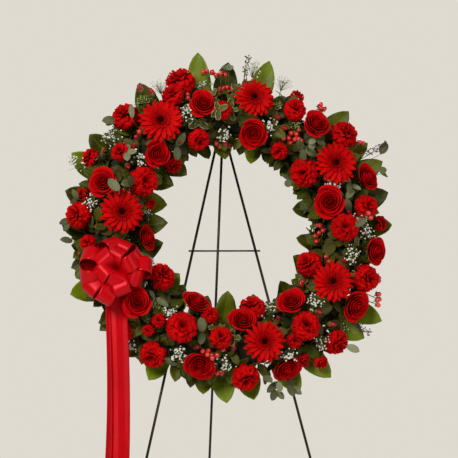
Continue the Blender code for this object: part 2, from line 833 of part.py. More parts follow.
# Eucalyptus and variegated leaves rise between the blooms from the same green branches
dropped = []
for kind, rows in (("oval", ovalSpots), ("varied", variedSpots)):
    for clock, reach in rows:
        k = sector(clock, innerCuts)
        owner = f"greens_{k + 1}"
        done = False
        for turn, roll in tryFoot(clock, reach, 0.088, 240, 1.0):
            low = spot(turn, roll, greenDepth)
            high = spot(turn, roll, chance.uniform(0.058, 0.080))
            if not clearOf(low, high, 0.001, owner):
                continue
            way = outward(turn, roll)
            first, second = across(way)
            a = chance.uniform(0, 2 * math.pi)
            leaves = []
            samples = []
            for side in (1, -1):
                flat = side * (math.cos(a) * first + math.sin(a) * second)
                along = unit(way * chance.uniform(0.35, 1.3) + flat)
                wide = unit(np.cross(along, unit(way + 0.3 * chance.uniform(-1, 1) * second)))
                length = chance.uniform(0.030, 0.040) if kind == "oval" else chance.uniform(0.026, 0.032)
                width = length * (0.80 if kind == "oval" else 0.52)
                rowsOf = leafPoints(high, along, wide, length, width, 0.05)
                if all(clearOf(p, p, 0.0016, owner) for p in rowsOf):
                    leaves.append((high - along * 0.0008, along, wide, length, width))
                    samples += rowsOf
            if leaves:
                done = True
                break
        if not done:
            dropped.append((kind, clock, reach))
            continue
        item = {"turn": turn, "roll": roll, "kind": kind, "high": high, "leaves": leaves}
        claim(low, high, 0.001, owner)
        for p in samples:
            claim(p, p, 0.0036, owner)
        innerSectors[k].setdefault("items", []).append(item)
for k, part in enumerate(innerSectors):
    owner = f"greens_{k + 1}"
    paths, kept = networkLinks(part.get("items", []), greenDepth, 0.0010, owner, part["anchors"])
    part["links"] = paths
    part["kept"] = kept


def forkedSprays(name, spots, cuts, depth, top, radius, fork, ball, count, spread, rise):
    """Find room for forked stalks with a ball of a given radius on each fork, and join them in sprays."""
    groups = [[] for k in cuts]
    for clock, reach in spots:
        k = sector(clock, cuts)
        owner = f"{name}_{k + 1}"
        for turn, roll in tryFoot(clock, reach, top, 240, 1.2):
            low = spot(turn, roll, depth)
            mid = spot(turn, roll, top - 0.014)
            if not clearOf(low, mid, radius, owner):
                continue
            way = outward(turn, roll)
            first, second = across(way)
            start = chance.uniform(0, 2 * math.pi)
            ends = []
            for j in range(count):
                a = start + 2 * math.pi * j / count
                flat = math.cos(a) * first + math.sin(a) * second
                ends.append(mid + way * chance.uniform(rise * 0.7, rise * 1.2) + flat * spread)
            free = all(clearOf(mid, e, fork, owner) and clearOf(e, e, ball, owner) for e in ends)
            if free:
                groups[k].append({"turn": turn, "roll": roll, "mid": mid, "ends": ends})
                claim(low, mid, radius, owner)
                for e in ends:
                    claim(mid, e, fork, owner)
                    claim(e, e, ball, owner)
                break
        else:
            dropped.append((name, clock, reach))
    links = []
    for k in range(len(cuts)):
        paths, kept = networkLinks(groups[k], depth, radius, f"{name}_{k + 1}")
        links.append(paths)
        groups[k] = kept
    return groups, links


airyDepth = 0.0505
berryDepth = 0.0531
airyGroups, airyLinks = forkedSprays(
    "gypsophila", airySpots, quarterCuts, airyDepth, 0.098, 0.0009, 0.0008, 0.0034, 3, 0.0105, 0.015
)
berryGroups, berryLinks = forkedSprays(
    "hypericum", berrySpots, quarterCuts, berryDepth, 0.094, 0.0010, 0.0010, 0.0048, 2, 0.0070, 0.011
)
print("left out for want of room:", dropped)

# Build the pieces
crimson = paint("rose_red", (0.45, 0.01, 0.02), 0.5)
scarlet = paint("gerbera_red", (0.55, 0.01, 0.015), 0.5)
carmine = paint("carnation_red", (0.50, 0.01, 0.03), 0.6)
leafGreen = paint("salal_green", (0.06, 0.15, 0.03), 0.4)
greyGreen = paint("mixed_green", (0.12, 0.20, 0.10), 0.5)
white = paint("gypsophila_white", (0.80, 0.82, 0.72), 0.8)
coral = paint("hypericum_coral", (0.50, 0.03, 0.02), 0.3)
foamGreen = paint("foam_green", (0.03, 0.09, 0.03), 0.95)
backWhite = paint("backing_plastic", (0.04, 0.08, 0.04), 0.5)
wire = paint("easel_wire", (0.015, 0.035, 0.02), 0.35, 0.6)
satin = paint("red_satin", (0.55, 0.01, 0.02), 0.35)
bare = paint("bare_wire", (0.30, 0.31, 0.30), 0.4, 0.9)

for h in heads:
    if h["kind"] == "rose":
        finish(f"rose_{h['number']:02d}", bloom(h), crimson)
    elif h["kind"] == "gerbera":
        finish(f"gerbera_{h['number']:02d}", gerberaSkin(h), scarlet, False)

for k, members in enumerate(sprays):
    pieces = [bloom(h) for h in members]
    pieces += [tube("link", path, 0.0012, 3) for path in sprayLinks[k]]
    name = f"carnation_spray_{k + 1}"
    finish(name, fuse(name, pieces), carmine)
print("blooms built")

for k, pieces in enumerate(outerBodies):
    name = f"salal_outer_{k + 1}"
    finish(name, fuse(name, pieces), leafGreen, False)


planted = [h for h in heads if h["inFoam"]]
for k, part in enumerate(innerSectors):
    pieces = list(part["pieces"])
    for j, (item, link) in enumerate(zip(part["kept"], part["links"])):
        pieces.append(tube("stalk", list(link) + [item["high"]], 0.0010, 3))
        for base, along, side, length, width in item["leaves"]:
            outline = ovalOutline if item["kind"] == "oval" else variedOutline
            wave = 0.0 if item["kind"] == "oval" else 0.0012
            pieces.append(
                flatLeaf("leaf", base, along, side, length, width, outline, 0.05, 0.04, leafThick, wave)
            )
        if j == 0:
            low = spot(item["turn"], item["roll"], stemEnd)
            high = spot(item["turn"], item["roll"], greenDepth + 0.002)
            pieces.append(tube("foot", [low, high], 0.0015, 5))
            planted.append(item)
    name = f"greens_{k + 1}"
    finish(name, fuse(name, pieces), greyGreen, False)
print("greens built")


def budEnd(path, radius, ball, long):
    """A thin stalk that swells at its end into a berry of six sides, as one skin."""
    rings = tubeRings(path, radius, 3)
    end = np.array(path[-1])
    way = unit(end - np.array(path[-2]))
    neck = end - way * ball * 0.92
    rings[-1] = rings[-1] + (neck - end)
    arm = unit(rings[-1][0] - neck)
    other = np.cross(way, arm)
    for rise in (-0.45, 0.45):
        ring = []
        for j in range(6):
            a = 2 * math.pi * j / 6
            out = ball * 0.89
            ring.append(end + way * rise * ball * long + out * (math.cos(a) * arm + math.sin(a) * other))
        rings.append(np.array(ring))
    rings.append(end + way * ball * long)
    return loft("strand", rings)


def flowerEnd(path, radius, ball):
    """A thin stalk that opens at its end into a small star of three broad petals, as one skin."""
    rings = tubeRings(path, radius, 3)
    end = np.array(path[-1])
    way = unit(end - np.array(path[-2]))
    neck = end - way * ball * 0.8
    rings[-1] = rings[-1] + (neck - end)
    arm = unit(rings[-1][0] - neck)
    other = np.cross(way, arm)
    ring = []
    for j in range(6):
        a = 2 * math.pi * j / 6
        out = ball * (1.0 if j % 2 == 0 else 0.62)
        ring.append(end + way * (0.25 if j % 2 == 0 else 0.0) * ball + out * (math.cos(a) * arm + math.sin(a) * other))
    rings.append(np.array(ring))
    rings.append(end + way * ball * 0.75)
    return loft("strand", rings)


def sprayBody(name, items, links, depth, radius, fork, ball):
    """A whole spray as one body: the first stalk stands in the foam and the rest grow from its foot."""

    def ending(path, thick):
        if name == "gypsophila":
            return flowerEnd(path, thick, ball)
        return budEnd(path, thick, ball, 1.0)

    pieces = []
    for j, item in enumerate(items):
        start = [spot(item["turn"], item["roll"], stemEnd)] if j == 0 else list(links[j - 1])
        pieces.append(ending(start + [item["mid"], item["ends"][0]], radius))
        for e in item["ends"][1:]:
            way = unit(e - item["mid"])
            pieces.append(ending([item["mid"] - way * 0.0003, e], fork))
    planted.append(items[0])
    return fuse(name, pieces)


for k in range(len(quarterCuts)):
    name = f"gypsophila_{k + 1}"
    body = sprayBody("gypsophila", airyGroups[k], airyLinks[k], airyDepth, 0.0010, 0.0008, 0.0033)
    finish(name, body, white, False)
    name = f"hypericum_{k + 1}"
    body = sprayBody("hypericum", berryGroups[k], berryLinks[k], berryDepth, 0.0011, 0.0010, 0.0046)
    finish(name, body, coral, False)
print("sprays built")


def ball(name, middle, radius, way):
    """A ball of twenty faces with its poles along a given way."""
    first, second = across(way)
    points = [middle - way * radius]
    for rise, turn in ((-0.447, 0.0), (0.447, math.pi / 5)):
        for j in range(5):
            a = 2 * math.pi * j / 5 + turn
            flat = math.cos(a) * first + math.sin(a) * second
            points.append(middle + way * rise * radius + flat * radius * 0.894)
    points.append(middle + way * radius)
    faces = []
    for j in range(5):
        i = (j + 1) % 5
        faces.append((0, 1 + i, 1 + j))
        faces.append((1 + j, 1 + i, 6 + j))
        faces.append((1 + i, 6 + i, 6 + j))
        faces.append((6 + j, 6 + i, 11))
    return solid(name, np.array(points), faces)


# The foam ring, with a plain hole for each stem that stands in it
samples = 30
points = []
faces = []
sides = 8
for k in range(samples):
    for j in range(sides):
        points.append(spot(2 * math.pi * k / samples, 2 * math.pi * (j + 0.5) / sides, foamRadius))
for k in range(samples):
    for j in range(sides):
        a = k * sides + j
        b = k * sides + (j + 1) % sides
        c = ((k + 1) % samples) * sides + (j + 1) % sides
        d = ((k + 1) % samples) * sides + j
        faces.append((a, b, c, d))
foam = solid("foam_ring", points, faces)
holes = bpy.data.collections.new("stem_holes")
toolBox.children.link(holes)
for k, item in enumerate(planted):
    low = item["foot"] if "foot" in item else spot(item["turn"], item["roll"], stemEnd)
    high = item["neck"] if "neck" in item else spot(item["turn"], item["roll"], 0.06)
    way = unit(high - low)
    wide = (stemRadius if "foot" in item else 0.0015) + gap
    cutter = tube("cutter", [low - way * 0.0015, low + way * 0.030], wide / math.cos(math.pi / 4), 4)
    cutter.name = f"hole_{k + 1}"
    holes.objects.link(cutter)
bowFoot = spot(bowTurn, bowRoll, stemEnd)
bowWay = unit(bowMiddle - bowFoot)
cutter = tube("cutter", [bowFoot - bowWay * 0.0004, bowFoot + bowWay * 0.030], (0.002 + gap) / math.cos(math.pi / 4), 4)
cutter.name = "hole_bow"
holes.objects.link(cutter)
bpy.context.scene.collection.objects.link(foam)
drill = foam.modifiers.new("drill", "BOOLEAN")
drill.operation = "DIFFERENCE"
drill.operand_type = "COLLECTION"
drill.collection = holes
drill.solver = "EXACT"
bpy.context.view_layer.update()
drilled = bpy.data.meshes.new_from_object(foam.evaluated_get(bpy.context.evaluated_depsgraph_get()))
for c in list(holes.objects):
    bpy.data.objects.remove(c)
bpy.data.collections.remove(holes)
bpy.data.objects.remove(foam)
finish("foam_ring", bpy.data.objects.new("foam_ring", drilled), foamGreen)
print("foam ring drilled:", len(planted) + 1, "holes")

# The flat backing ring that the foam is moulded on
points = []
faces = []
front = -(foamRadius * math.cos(math.pi / sides) + gap)
rear = -(foamRadius + gap + backThick)
for k in range(samples):
    a = 2 * math.pi * k / samples
    for reach, w in (
        (ringRadius - backRadius, front), (ringRadius + backRadius, front),
        (ringRadius + backRadius, rear), (ringRadius - backRadius, rear),
    ):
        points.append((reach * math.cos(a), reach * math.sin(a), w))
for k in range(samples):
    for j in range(4):
        a = k * 4 + j
        b = k * 4 + (j + 1) % 4
        c = ((k + 1) % samples) * 4 + (j + 1) % 4
        d = ((k + 1) % samples) * 4 + j
        faces.append((a, b, c, d))
finish("backing_ring", solid("backing_ring", points, faces), backWhite, False)

# The easel: two front legs, a crossbar in front of them, a pin and a rear leg that folds on it


def legPoint(side, rise):
    return np.array([side * legSpread * (apexRise - rise), rise, easelPlane])


def floorTube(name, top, foot, radius, sides):
    """A straight leg whose lower end is cut level with the floor. The points are in world axes."""
    rings = tubeRings([top, foot], radius, sides)
    way = unit(np.array(foot) - np.array(top))
    rings[1] = np.array([p - way * (p[2] / way[2]) for p in rings[1]])
    return loft(name, rings, world=False)


legTop = 0.250
for side, word in ((-1, "left"), (1, "right")):
    top = toWorld(legPoint(side, legTop))[0]
    way = unit(toWorld(legPoint(side, 0.0))[0] - top)
    foot = top - way * (top[2] / way[2])
    leg = floorTube(f"easel_leg_{word}", top, foot, legRadius, 10)
    finish(f"easel_leg_{word}", leg, wire)
barRise = -0.038
barWide = legSpread * (apexRise - barRise) + 0.010
barPlane = easelPlane + legRadius + gap + barRadius
bar = tube("bar", [(-barWide, barRise, barPlane), (barWide, barRise, barPlane)], barRadius, 10)
finish("easel_crossbar", bar, wire)
pinHalf = legSpread * (apexRise - pinRise) - legRadius * math.sqrt(1 + legSpread**2) - gap
pin = tube("pin", [(-pinHalf, pinRise, easelPlane), (pinHalf, pinRise, easelPlane)], 0.002, 10)
finish("easel_pin", pin, wire)
hookPath = [
    (0, legTop - 0.0001, easelPlane), (0, legTop + 0.010, easelPlane),
    (0, legTop + 0.0135, easelPlane - 0.004), (0, legTop + 0.0200, easelPlane - 0.022),
]
finish("easel_hook", tube("hook", hookPath, 0.002, 8), wire)

pinWorld = toWorld((0, pinRise, easelPlane))[0]
rear = math.radians(rearDeg)
rearWay = np.array([0.0, math.sin(rear), -math.cos(rear)])
eyeReach = 0.0050
eyeTube = 0.0020
eyePoints = []
eyeFaces = []
eyeAround = 12
eyeSides = 6
for k in range(eyeAround):
    a = 2 * math.pi * k / eyeAround
    arm = np.array([0.0, math.cos(a), math.sin(a)])
    for j in range(eyeSides):
        b = 2 * math.pi * j / eyeSides
        eyePoints.append(pinWorld + arm * (eyeReach + eyeTube * math.cos(b)) + sideWay * eyeTube * math.sin(b))
for k in range(eyeAround):
    for j in range(eyeSides):
        a = k * eyeSides + j
        b = k * eyeSides + (j + 1) % eyeSides
        c = ((k + 1) % eyeAround) * eyeSides + (j + 1) % eyeSides
        d = ((k + 1) % eyeAround) * eyeSides + j
        eyeFaces.append((a, b, c, d))
eye = solid("eye", eyePoints, eyeFaces, world=False)
top = pinWorld + rearWay * eyeReach
foot = pinWorld - rearWay * (pinWorld[2] / rearWay[2])
rearLeg = fuse("easel_rear_leg", [floorTube("rear", top, foot, legRadius, 10), eye])
finish("easel_rear_leg", rearLeg, wire)

# The wire loop on the back of the ring, over the hook
loopBack = -(foamRadius + gap + backThick + gap)
loopPath = [
    (-0.0125, 0.2500, loopBack - 0.0012), (-0.0120, 0.2590, loopBack - 0.0014),
    (-0.0090, 0.2667, easelPlane - 0.0090), (0.0, 0.26955, easelPlane - 0.0110),
    (0.0090, 0.2667, easelPlane - 0.0090), (0.0120, 0.2590, loopBack - 0.0014),
    (0.0125, 0.2500, loopBack - 0.0012),
]
finish("hanging_wire", tube("loop", loopPath, 0.0010, 5), bare)

# The bow: loops of satin ribbon in two rounds about a knot on a pick
bowFirst, bowSecond = across(bowAxis)
bowPoints = 6
pieces = [tube("pick", [bowFoot, bowMiddle], 0.002, 6)]


def bowLoop(angle, reach, lift, high):
    """One teardrop loop of ribbon, out from the knot and back over itself, narrow at the knot."""
    arm = math.cos(angle) * bowFirst + math.sin(angle) * bowSecond
    arm = unit(arm + bowAxis * lift)
    up = unit(bowAxis - np.dot(bowAxis, arm) * arm)
    wide = np.cross(arm, up)
    path = []
    for k in range(bowPoints):
        t = k / (bowPoints - 1)
        out = 0.006 + reach * math.sin(math.pi * t)
        rise = -high * 0.5 * math.sin(2 * math.pi * t) - 0.004 * math.cos(math.pi * t)
        path.append(bowMiddle + arm * out + up * rise)
    rings = []
    for k, p in enumerate(path):
        ahead = unit(path[min(k + 1, bowPoints - 1)] - path[max(k - 1, 0)])
        square = unit(np.cross(ahead, wide))
        w = min(ribbonWide, 0.80 * np.linalg.norm(p - bowMiddle)) / 2
        t = ribbonThick / 2
        rings.append(np.array([p - wide * w - square * t, p + wide * w - square * t,
                               p + wide * w + square * t, p - wide * w + square * t]))
    return loft("loop", rings)


for k in range(6):
    pieces.append(bowLoop(2 * math.pi * (k + 0.2) / 6, 0.062, 0.06, 0.024))
for k in range(3):
    pieces.append(bowLoop(2 * math.pi * (k + 0.55) / 3, 0.048, 1.0, 0.026))
pieces.append(ball("knot", bowMiddle, 0.0095, bowAxis))
finish("bow", fuse("bow", pieces), satin, False)
for side, word in ((-1, "left"), (1, "right")):
    path = streamerPath(side)
    widths = [0.011, 0.030] + [ribbonWide] * (len(path) - 2)
    finish(f"streamer_{word}", ribbon("streamer", path, widths, (0, 0, 1.0)), satin, False)

# Put the middle of the footprint at the origin and the feet on the floor
low = np.full(3, np.inf)
high = np.full(3, -np.inf)
for thing in shop.objects:
    flat = np.zeros(len(thing.data.vertices) * 3, np.float32)
    thing.data.vertices.foreach_get("co", flat)
    flat = flat.reshape(-1, 3)
    low = np.minimum(low, flat.min(0))
    high = np.maximum(high, flat.max(0))
shift = np.array([(low[0] + high[0]) / 2, (low[1] + high[1]) / 2, low[2]])
total = 0
for thing in shop.objects:
    flat = np.zeros(len(thing.data.vertices) * 3, np.float32)
    thing.data.vertices.foreach_get("co", flat)
    flat = (flat.reshape(-1, 3) - shift).astype(np.float32)
    thing.data.vertices.foreach_set("co", flat.ravel())
    thing.data.update()
    thing.data.calc_loop_triangles()
    total += len(thing.data.loop_triangles)
print(f"nodes {len(shop.objects)}, triangles {total}")
print("size", np.round(high - low, 4).tolist(), "moved by", np.round(-shift, 5).tolist())
print("hinge", np.round(pinWorld - shift, 5).tolist())
bpy.context.view_layer.update()
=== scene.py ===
import math

import bpy
import numpy as np
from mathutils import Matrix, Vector


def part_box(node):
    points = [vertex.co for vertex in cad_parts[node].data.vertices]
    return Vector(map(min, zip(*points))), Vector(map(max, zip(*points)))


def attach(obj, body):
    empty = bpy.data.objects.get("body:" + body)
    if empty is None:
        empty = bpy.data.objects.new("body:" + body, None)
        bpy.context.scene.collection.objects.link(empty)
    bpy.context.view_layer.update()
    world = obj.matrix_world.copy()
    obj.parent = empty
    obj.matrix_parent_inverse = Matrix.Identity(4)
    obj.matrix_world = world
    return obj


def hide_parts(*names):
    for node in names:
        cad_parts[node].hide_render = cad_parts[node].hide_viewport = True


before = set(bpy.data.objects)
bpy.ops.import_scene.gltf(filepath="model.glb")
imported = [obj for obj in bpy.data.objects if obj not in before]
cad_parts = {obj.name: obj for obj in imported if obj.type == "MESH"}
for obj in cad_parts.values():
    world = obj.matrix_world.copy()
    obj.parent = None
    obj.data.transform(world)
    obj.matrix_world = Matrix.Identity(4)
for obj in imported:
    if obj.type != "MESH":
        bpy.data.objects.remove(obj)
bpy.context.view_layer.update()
chance = np.random.default_rng(11)

# The wreath's own axes: u to the right, v up the ring, w out to the front. The ring leans back.
# Lengths are in metres and angles in degrees wherever a table doesn't say otherwise
wreath = {
    "lean": 9.0,
    "ringRadius": 0.265,
    "foamRadius": 0.040,
    "backRadius": 0.034,
    "backThick": 0.005,
    "stemRadius": 0.002,
    "gap": 0.0003,  # left between parts that rest on each other
}
lowFoam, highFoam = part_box("foam_ring")
hub = (np.array(lowFoam) + np.array(highFoam)) / 2
lean = math.radians(wreath["lean"])
ringRadius = wreath["ringRadius"]
goldenAngle = 2.39996  # radians from one petal to the next, so that no two stand in line
axes = np.array([
    [1.0, 0.0, 0.0],
    [0.0, math.sin(lean), math.cos(lean)],
    [0.0, -math.cos(lean), math.sin(lean)],
])


def toRow(points):
    # hub + u along the first axis + v along the second + w along the third
    return hub + np.asarray(points, float) @ axes


def unit(v):
    v = np.asarray(v, float)
    return v / (np.linalg.norm(v, axis=-1, keepdims=True) + 1e-12)


def spot(turn, roll, depth):
    # a point round the ring's tube: reach = ring radius + depth cos(roll), w = depth sin(roll)
    reach = ringRadius + depth * np.cos(roll)
    rows = np.broadcast_arrays(reach * np.cos(turn), reach * np.sin(turn), depth * np.sin(roll))
    return np.stack(rows, axis=-1)


def outward(turn, roll):
    # the way out of the ring's tube at that turn and roll
    c = np.cos(roll)
    rows = np.broadcast_arrays(c * np.cos(turn), c * np.sin(turn), np.sin(roll))
    return np.stack(rows, axis=-1)


def toRing(p):
    # turn, roll and depth of points in the wreath's axes
    reach = np.hypot(p[..., 0], p[..., 1])
    return (
        np.arctan2(p[..., 1], p[..., 0]),
        np.arctan2(p[..., 2], reach - ringRadius),
        np.hypot(p[..., 2], reach - ringRadius),
    )


def rollFor(reach, depth):
    # the roll at which a point of that depth has that reach from the hub
    return np.arccos(np.clip((reach - ringRadius) / depth, -1.0, 1.0))


def across(way):
    # two directions square to each given one
    way = np.atleast_2d(way)
    helper = np.where(np.abs(way[:, 2:]) < 0.9, [[0.0, 0.0, 1.0]], [[1.0, 0.0, 0.0]])
    first = unit(np.cross(helper, way))
    return first, np.cross(way, first)


# Materials. Points carry three numbers: along (root to tip), side (-1 to 1) and tone (per leaf or petal)
def newMaterial(name, rough, metal=0.0, specular=0.5, coat=0.0, subsurface=0.0):
    m = bpy.data.materials.new(name)
    m.use_nodes = True
    shader = m.node_tree.nodes["Principled BSDF"]
    shader.inputs["Roughness"].default_value = rough
    shader.inputs["Metallic"].default_value = metal
    shader.inputs["Specular IOR Level"].default_value = specular
    shader.inputs["Coat Weight"].default_value = coat
    shader.inputs["Coat Roughness"].default_value = 0.2
    shader.inputs["Subsurface Weight"].default_value = subsurface
    shader.inputs["Subsurface Radius"].default_value = (0.004, 0.0015, 0.001)
    return m, m.node_tree, shader


def carried(tree, name):
    # one of the three numbers that the points carry
    n = tree.nodes.new("ShaderNodeAttribute")
    n.attribute_name = name
    return n.outputs["Fac"]


def maths(tree, kind, a, b=None, c=None):
    n = tree.nodes.new("ShaderNodeMath")
    n.operation = kind
    for k, value in enumerate((a, b, c)):
        if value is None:
            continue
        if isinstance(value, (int, float)):
            n.inputs[k].default_value = value
        else:
            tree.links.new(value, n.inputs[k])
    return n.outputs[0]


def ramp(tree, value, stops):
    n = tree.nodes.new("ShaderNodeValToRGB")
    row = n.color_ramp.elements
    while len(row) < len(stops):
        row.new(0.5)
    for e, (place, colour) in zip(row, stops):
        e.position = place
        e.color = (*colour, 1.0)
    tree.links.new(value, n.inputs["Fac"])
    return n.outputs["Color"]


def blendOf(tree, kind, share, a, b):
    n = tree.nodes.new("ShaderNodeMix")
    n.data_type = "RGBA"
    n.blend_type = kind
    for socket, value in ((n.inputs[0], share), (n.inputs[6], a), (n.inputs[7], b)):
        if isinstance(value, (int, float)):
            socket.default_value = value
        elif isinstance(value, tuple):
            socket.default_value = (*value, 1.0)
        else:
            tree.links.new(value, socket)
    return n.outputs[2]


def noiseOf(tree, scale, detail=3.0):
    place = tree.nodes.new("ShaderNodeTexCoord")
    n = tree.nodes.new("ShaderNodeTexNoise")
    n.inputs["Scale"].default_value = scale
    n.inputs["Detail"].default_value = detail
    n.inputs["Roughness"].default_value = 0.5
    tree.links.new(place.outputs["Object"], n.inputs["Vector"])
    return n.outputs["Fac"]


def bumpOf(tree, shader, height, strength, distance):
    n = tree.nodes.new("ShaderNodeBump")
    n.inputs["Strength"].default_value = strength
    n.inputs["Distance"].default_value = distance
    tree.links.new(height, n.inputs["Height"])
    tree.links.new(n.outputs["Normal"], shader.inputs["Normal"])


def petalMaterial(name, deep, mid, rim, rough, veins):
    # painted shade: darker at the root, where the petals crowd each other, partly the bloom's own deeper red
    # there, lighter to the rim, with a little change from petal to petal
    m, tree, shader = newMaterial(name, rough, specular=0.05, subsurface=0.05)
    # the colour at the root stands in for the shade between the petals
    base = ramp(tree, carried(tree, "along"), [(0.0, deep), (0.55, mid), (1.0, rim)])
    shade = maths(tree, "MULTIPLY_ADD", carried(tree, "tone"), 0.38, 0.56)
    grey = tree.nodes.new("ShaderNodeCombineColor")
    for k in range(3):
        tree.links.new(shade, grey.inputs[k])
    toned = blendOf(tree, "MULTIPLY", 1.0, base, grey.outputs[0])
    flecks = ramp(tree, noiseOf(tree, 55.0, 2.0), [(0.35, (0.80, 0.80, 0.80)), (0.65, (1.0, 1.0, 1.0))])
    tree.links.new(blendOf(tree, "MULTIPLY", 1.0, toned, flecks), shader.inputs["Base Color"])
    ribs = maths(tree, "SINE", maths(tree, "MULTIPLY", carried(tree, "side"), veins))
    bumpOf(tree, shader, ribs, 0.25, 0.0003)
    return m


def thinLine(tree, value, sharp):
    # 1 where the value is 0, falling to 0 where it reaches 1 / sharp
    near = maths(tree, "MINIMUM", maths(tree, "MULTIPLY", value, sharp), 1.0)
    return maths(tree, "SUBTRACT", 1.0, near)


def leafMaterial(name, dark, light, bright, vein, rough, rimColour=None, ribs=8.0):
    # dark, light and bright go by the leaf's tone; a pale midrib has side veins that run out and
    # forward to the rim, and a rim colour gives a ragged pale edge
    m, tree, shader = newMaterial(name, rough, specular=0.26)
    far = maths(tree, "ABSOLUTE", carried(tree, "side"))
    base = ramp(tree, carried(tree, "tone"), [(0.0, dark), (0.72, light), (1.0, bright)])
    clouded = ramp(tree, noiseOf(tree, 28.0), [(0.3, (0.72, 0.75, 0.70)), (0.7, (1.08, 1.06, 1.0))])
    colour = blendOf(tree, "MULTIPLY", 1.0, base, clouded)
    slant = maths(tree, "MULTIPLY", far, ribs * 0.24)
    lines = maths(tree, "SUBTRACT", maths(tree, "MULTIPLY", carried(tree, "along"), ribs), slant)
    wave = maths(tree, "ABSOLUTE", maths(tree, "SUBTRACT", maths(tree, "FRACT", lines), 0.5))
    sideVein = maths(tree, "MULTIPLY", thinLine(tree, wave, 11.0), 0.45)
    both = maths(tree, "MAXIMUM", sideVein, thinLine(tree, far, 13.0))
    colour = blendOf(tree, "MIX", maths(tree, "MULTIPLY", both, 0.55), colour, vein)
    if rimColour is not None:
        ragged = maths(tree, "MULTIPLY_ADD", noiseOf(tree, 160.0, 2.0), 0.45, -0.22)
        atRim = maths(tree, "GREATER_THAN", maths(tree, "ADD", far, ragged), 0.83)
        colour = blendOf(tree, "MIX", atRim, colour, rimColour)
    tree.links.new(colour, shader.inputs["Base Color"])
    bumpOf(tree, shader, maths(tree, "MULTIPLY", both, -1.0), 0.5, 0.0006)
    return m


def plainMaterial(name, one, two, rough, scale, metal=0.0, bump=0.0, coat=0.0, specular=0.5, byTone=0.0):
    # two close colours clouded together
    m, tree, shader = newMaterial(name, rough, metal=metal, coat=coat, specular=specular)
    cloud = noiseOf(tree, scale, 4.0)
    share = cloud
    if byTone:
        part = maths(tree, "MULTIPLY", carried(tree, "tone"), byTone)
        share = maths(tree, "ADD", maths(tree, "MULTIPLY", cloud, 1 - byTone), part)
    tree.links.new(ramp(tree, share, [(0.3, one), (0.7, two)]), shader.inputs["Base Color"])
    if bump:
        bumpOf(tree, shader, cloud, 0.6, bump)
    return m


def satinMaterial():
    # fine weft lines across the ribbon, a broad red shine that is drawn out along the ribbon
    m, tree, shader = newMaterial("red_satin", 0.33, specular=0.9)
    shader.inputs["Specular Tint"].default_value = (1.0, 0.15, 0.18, 1.0)
    shader.inputs["Anisotropic"].default_value = 0.9
    shader.inputs["Anisotropic Rotation"].default_value = 0.25
    red = ramp(tree, noiseOf(tree, 24.0), [(0.3, (0.48, 0.0, 0.002)), (0.7, (0.59, 0.0, 0.005))])
    tree.links.new(red, shader.inputs["Base Color"])
    weave = maths(tree, "SINE", maths(tree, "MULTIPLY", carried(tree, "along"), 900.0))
    bumpOf(tree, shader, weave, 0.08, 0.0001)
    return m


# The deep colour of each petal, at its root, is painted shade between the petals
roseRed = petalMaterial(
    "rose_petal", (0.030, 0.0, 0.0005), (0.38, 0.0006, 0.002), (0.74, 0.001, 0.004), rough=0.62, veins=40.0)
gerberaRed = petalMaterial(
    "gerbera_petal", (0.15, 0.0, 0.0008), (0.66, 0.001, 0.002), (0.84, 0.002, 0.002), rough=0.60, veins=9.0)
carnationRed = petalMaterial(
    "carnation_petal", (0.17, 0.0, 0.0008), (0.56, 0.0008, 0.002), (0.84, 0.003, 0.004),
    rough=0.68, veins=30.0)
salalGreen = leafMaterial(
    "salal_leaf", (0.042, 0.047, 0.001), (0.130, 0.157, 0.002), (0.19, 0.28, 0.004),
    vein=(0.19, 0.23, 0.02), rough=0.45)
bedGreen = leafMaterial(
    "filler_leaf", (0.024, 0.023, 0.001), (0.095, 0.085, 0.004), (0.095, 0.085, 0.004),
    vein=(0.13, 0.12, 0.015), rough=0.5)
ovalGreen = leafMaterial(
    "eucalyptus_leaf", (0.052, 0.060, 0.022), (0.16, 0.175, 0.080), (0.30, 0.32, 0.20),
    vein=(0.24, 0.26, 0.14), rough=0.55, ribs=5.0)
variedGreen = leafMaterial(
    "pittosporum_leaf", (0.034, 0.044, 0.003), (0.100, 0.118, 0.012), (0.100, 0.118, 0.012),
    vein=(0.15, 0.19, 0.05), rough=0.42, rimColour=(0.42, 0.40, 0.20))
gerberaEye = plainMaterial(
    "gerbera_eye", (0.004, 0.0005, 0.0005), (0.030, 0.002, 0.002), 0.8, 400.0, specular=0.1)
stemGreen = plainMaterial("stem_green", (0.038, 0.062, 0.008), (0.090, 0.125, 0.016), 0.5, 90.0)
airyStem = plainMaterial("gypsophila_stem", (0.13, 0.17, 0.05), (0.22, 0.27, 0.10), 0.6, 90.0)
twigBrown = plainMaterial("twig_purple", (0.045, 0.014, 0.022), (0.13, 0.055, 0.068), 0.6, 120.0)
airyWhite = plainMaterial(
    "gypsophila_floret", (0.66, 0.68, 0.54), (0.94, 0.94, 0.86), 0.8, 300.0, specular=0.3)
berryCoral = plainMaterial(
    "hypericum_berry", (0.50, 0.006, 0.008), (0.78, 0.040, 0.030), 0.22, 70.0, coat=0.4, byTone=0.4)
budRed = plainMaterial("bud_red", (0.20, 0.001, 0.003), (0.50, 0.004, 0.010), 0.5, 120.0)
seedGreen = plainMaterial("seed_green", (0.16, 0.22, 0.04), (0.34, 0.38, 0.10), 0.5, 120.0)
# painted shadow: the foam is near-black olive so that any gap between the leaves reads as deep shade
foamShadowMaterial = plainMaterial(
    "foam_green", (0.007, 0.011, 0.003), (0.016, 0.024, 0.006), 0.95, 500.0, bump=0.0008)
backMaterial = plainMaterial("backing_plastic", (0.012, 0.040, 0.016), (0.018, 0.055, 0.022), 0.45, 40.0)
wireMaterial = plainMaterial(
    "easel_wire", (0.012, 0.014, 0.007), (0.024, 0.026, 0.013), 0.34, 35.0, metal=0.55)
bareWire = plainMaterial("bare_wire", (0.30, 0.31, 0.30), (0.44, 0.45, 0.44), 0.32, 60.0, metal=0.9)
satin = satinMaterial()
print("materials ready")


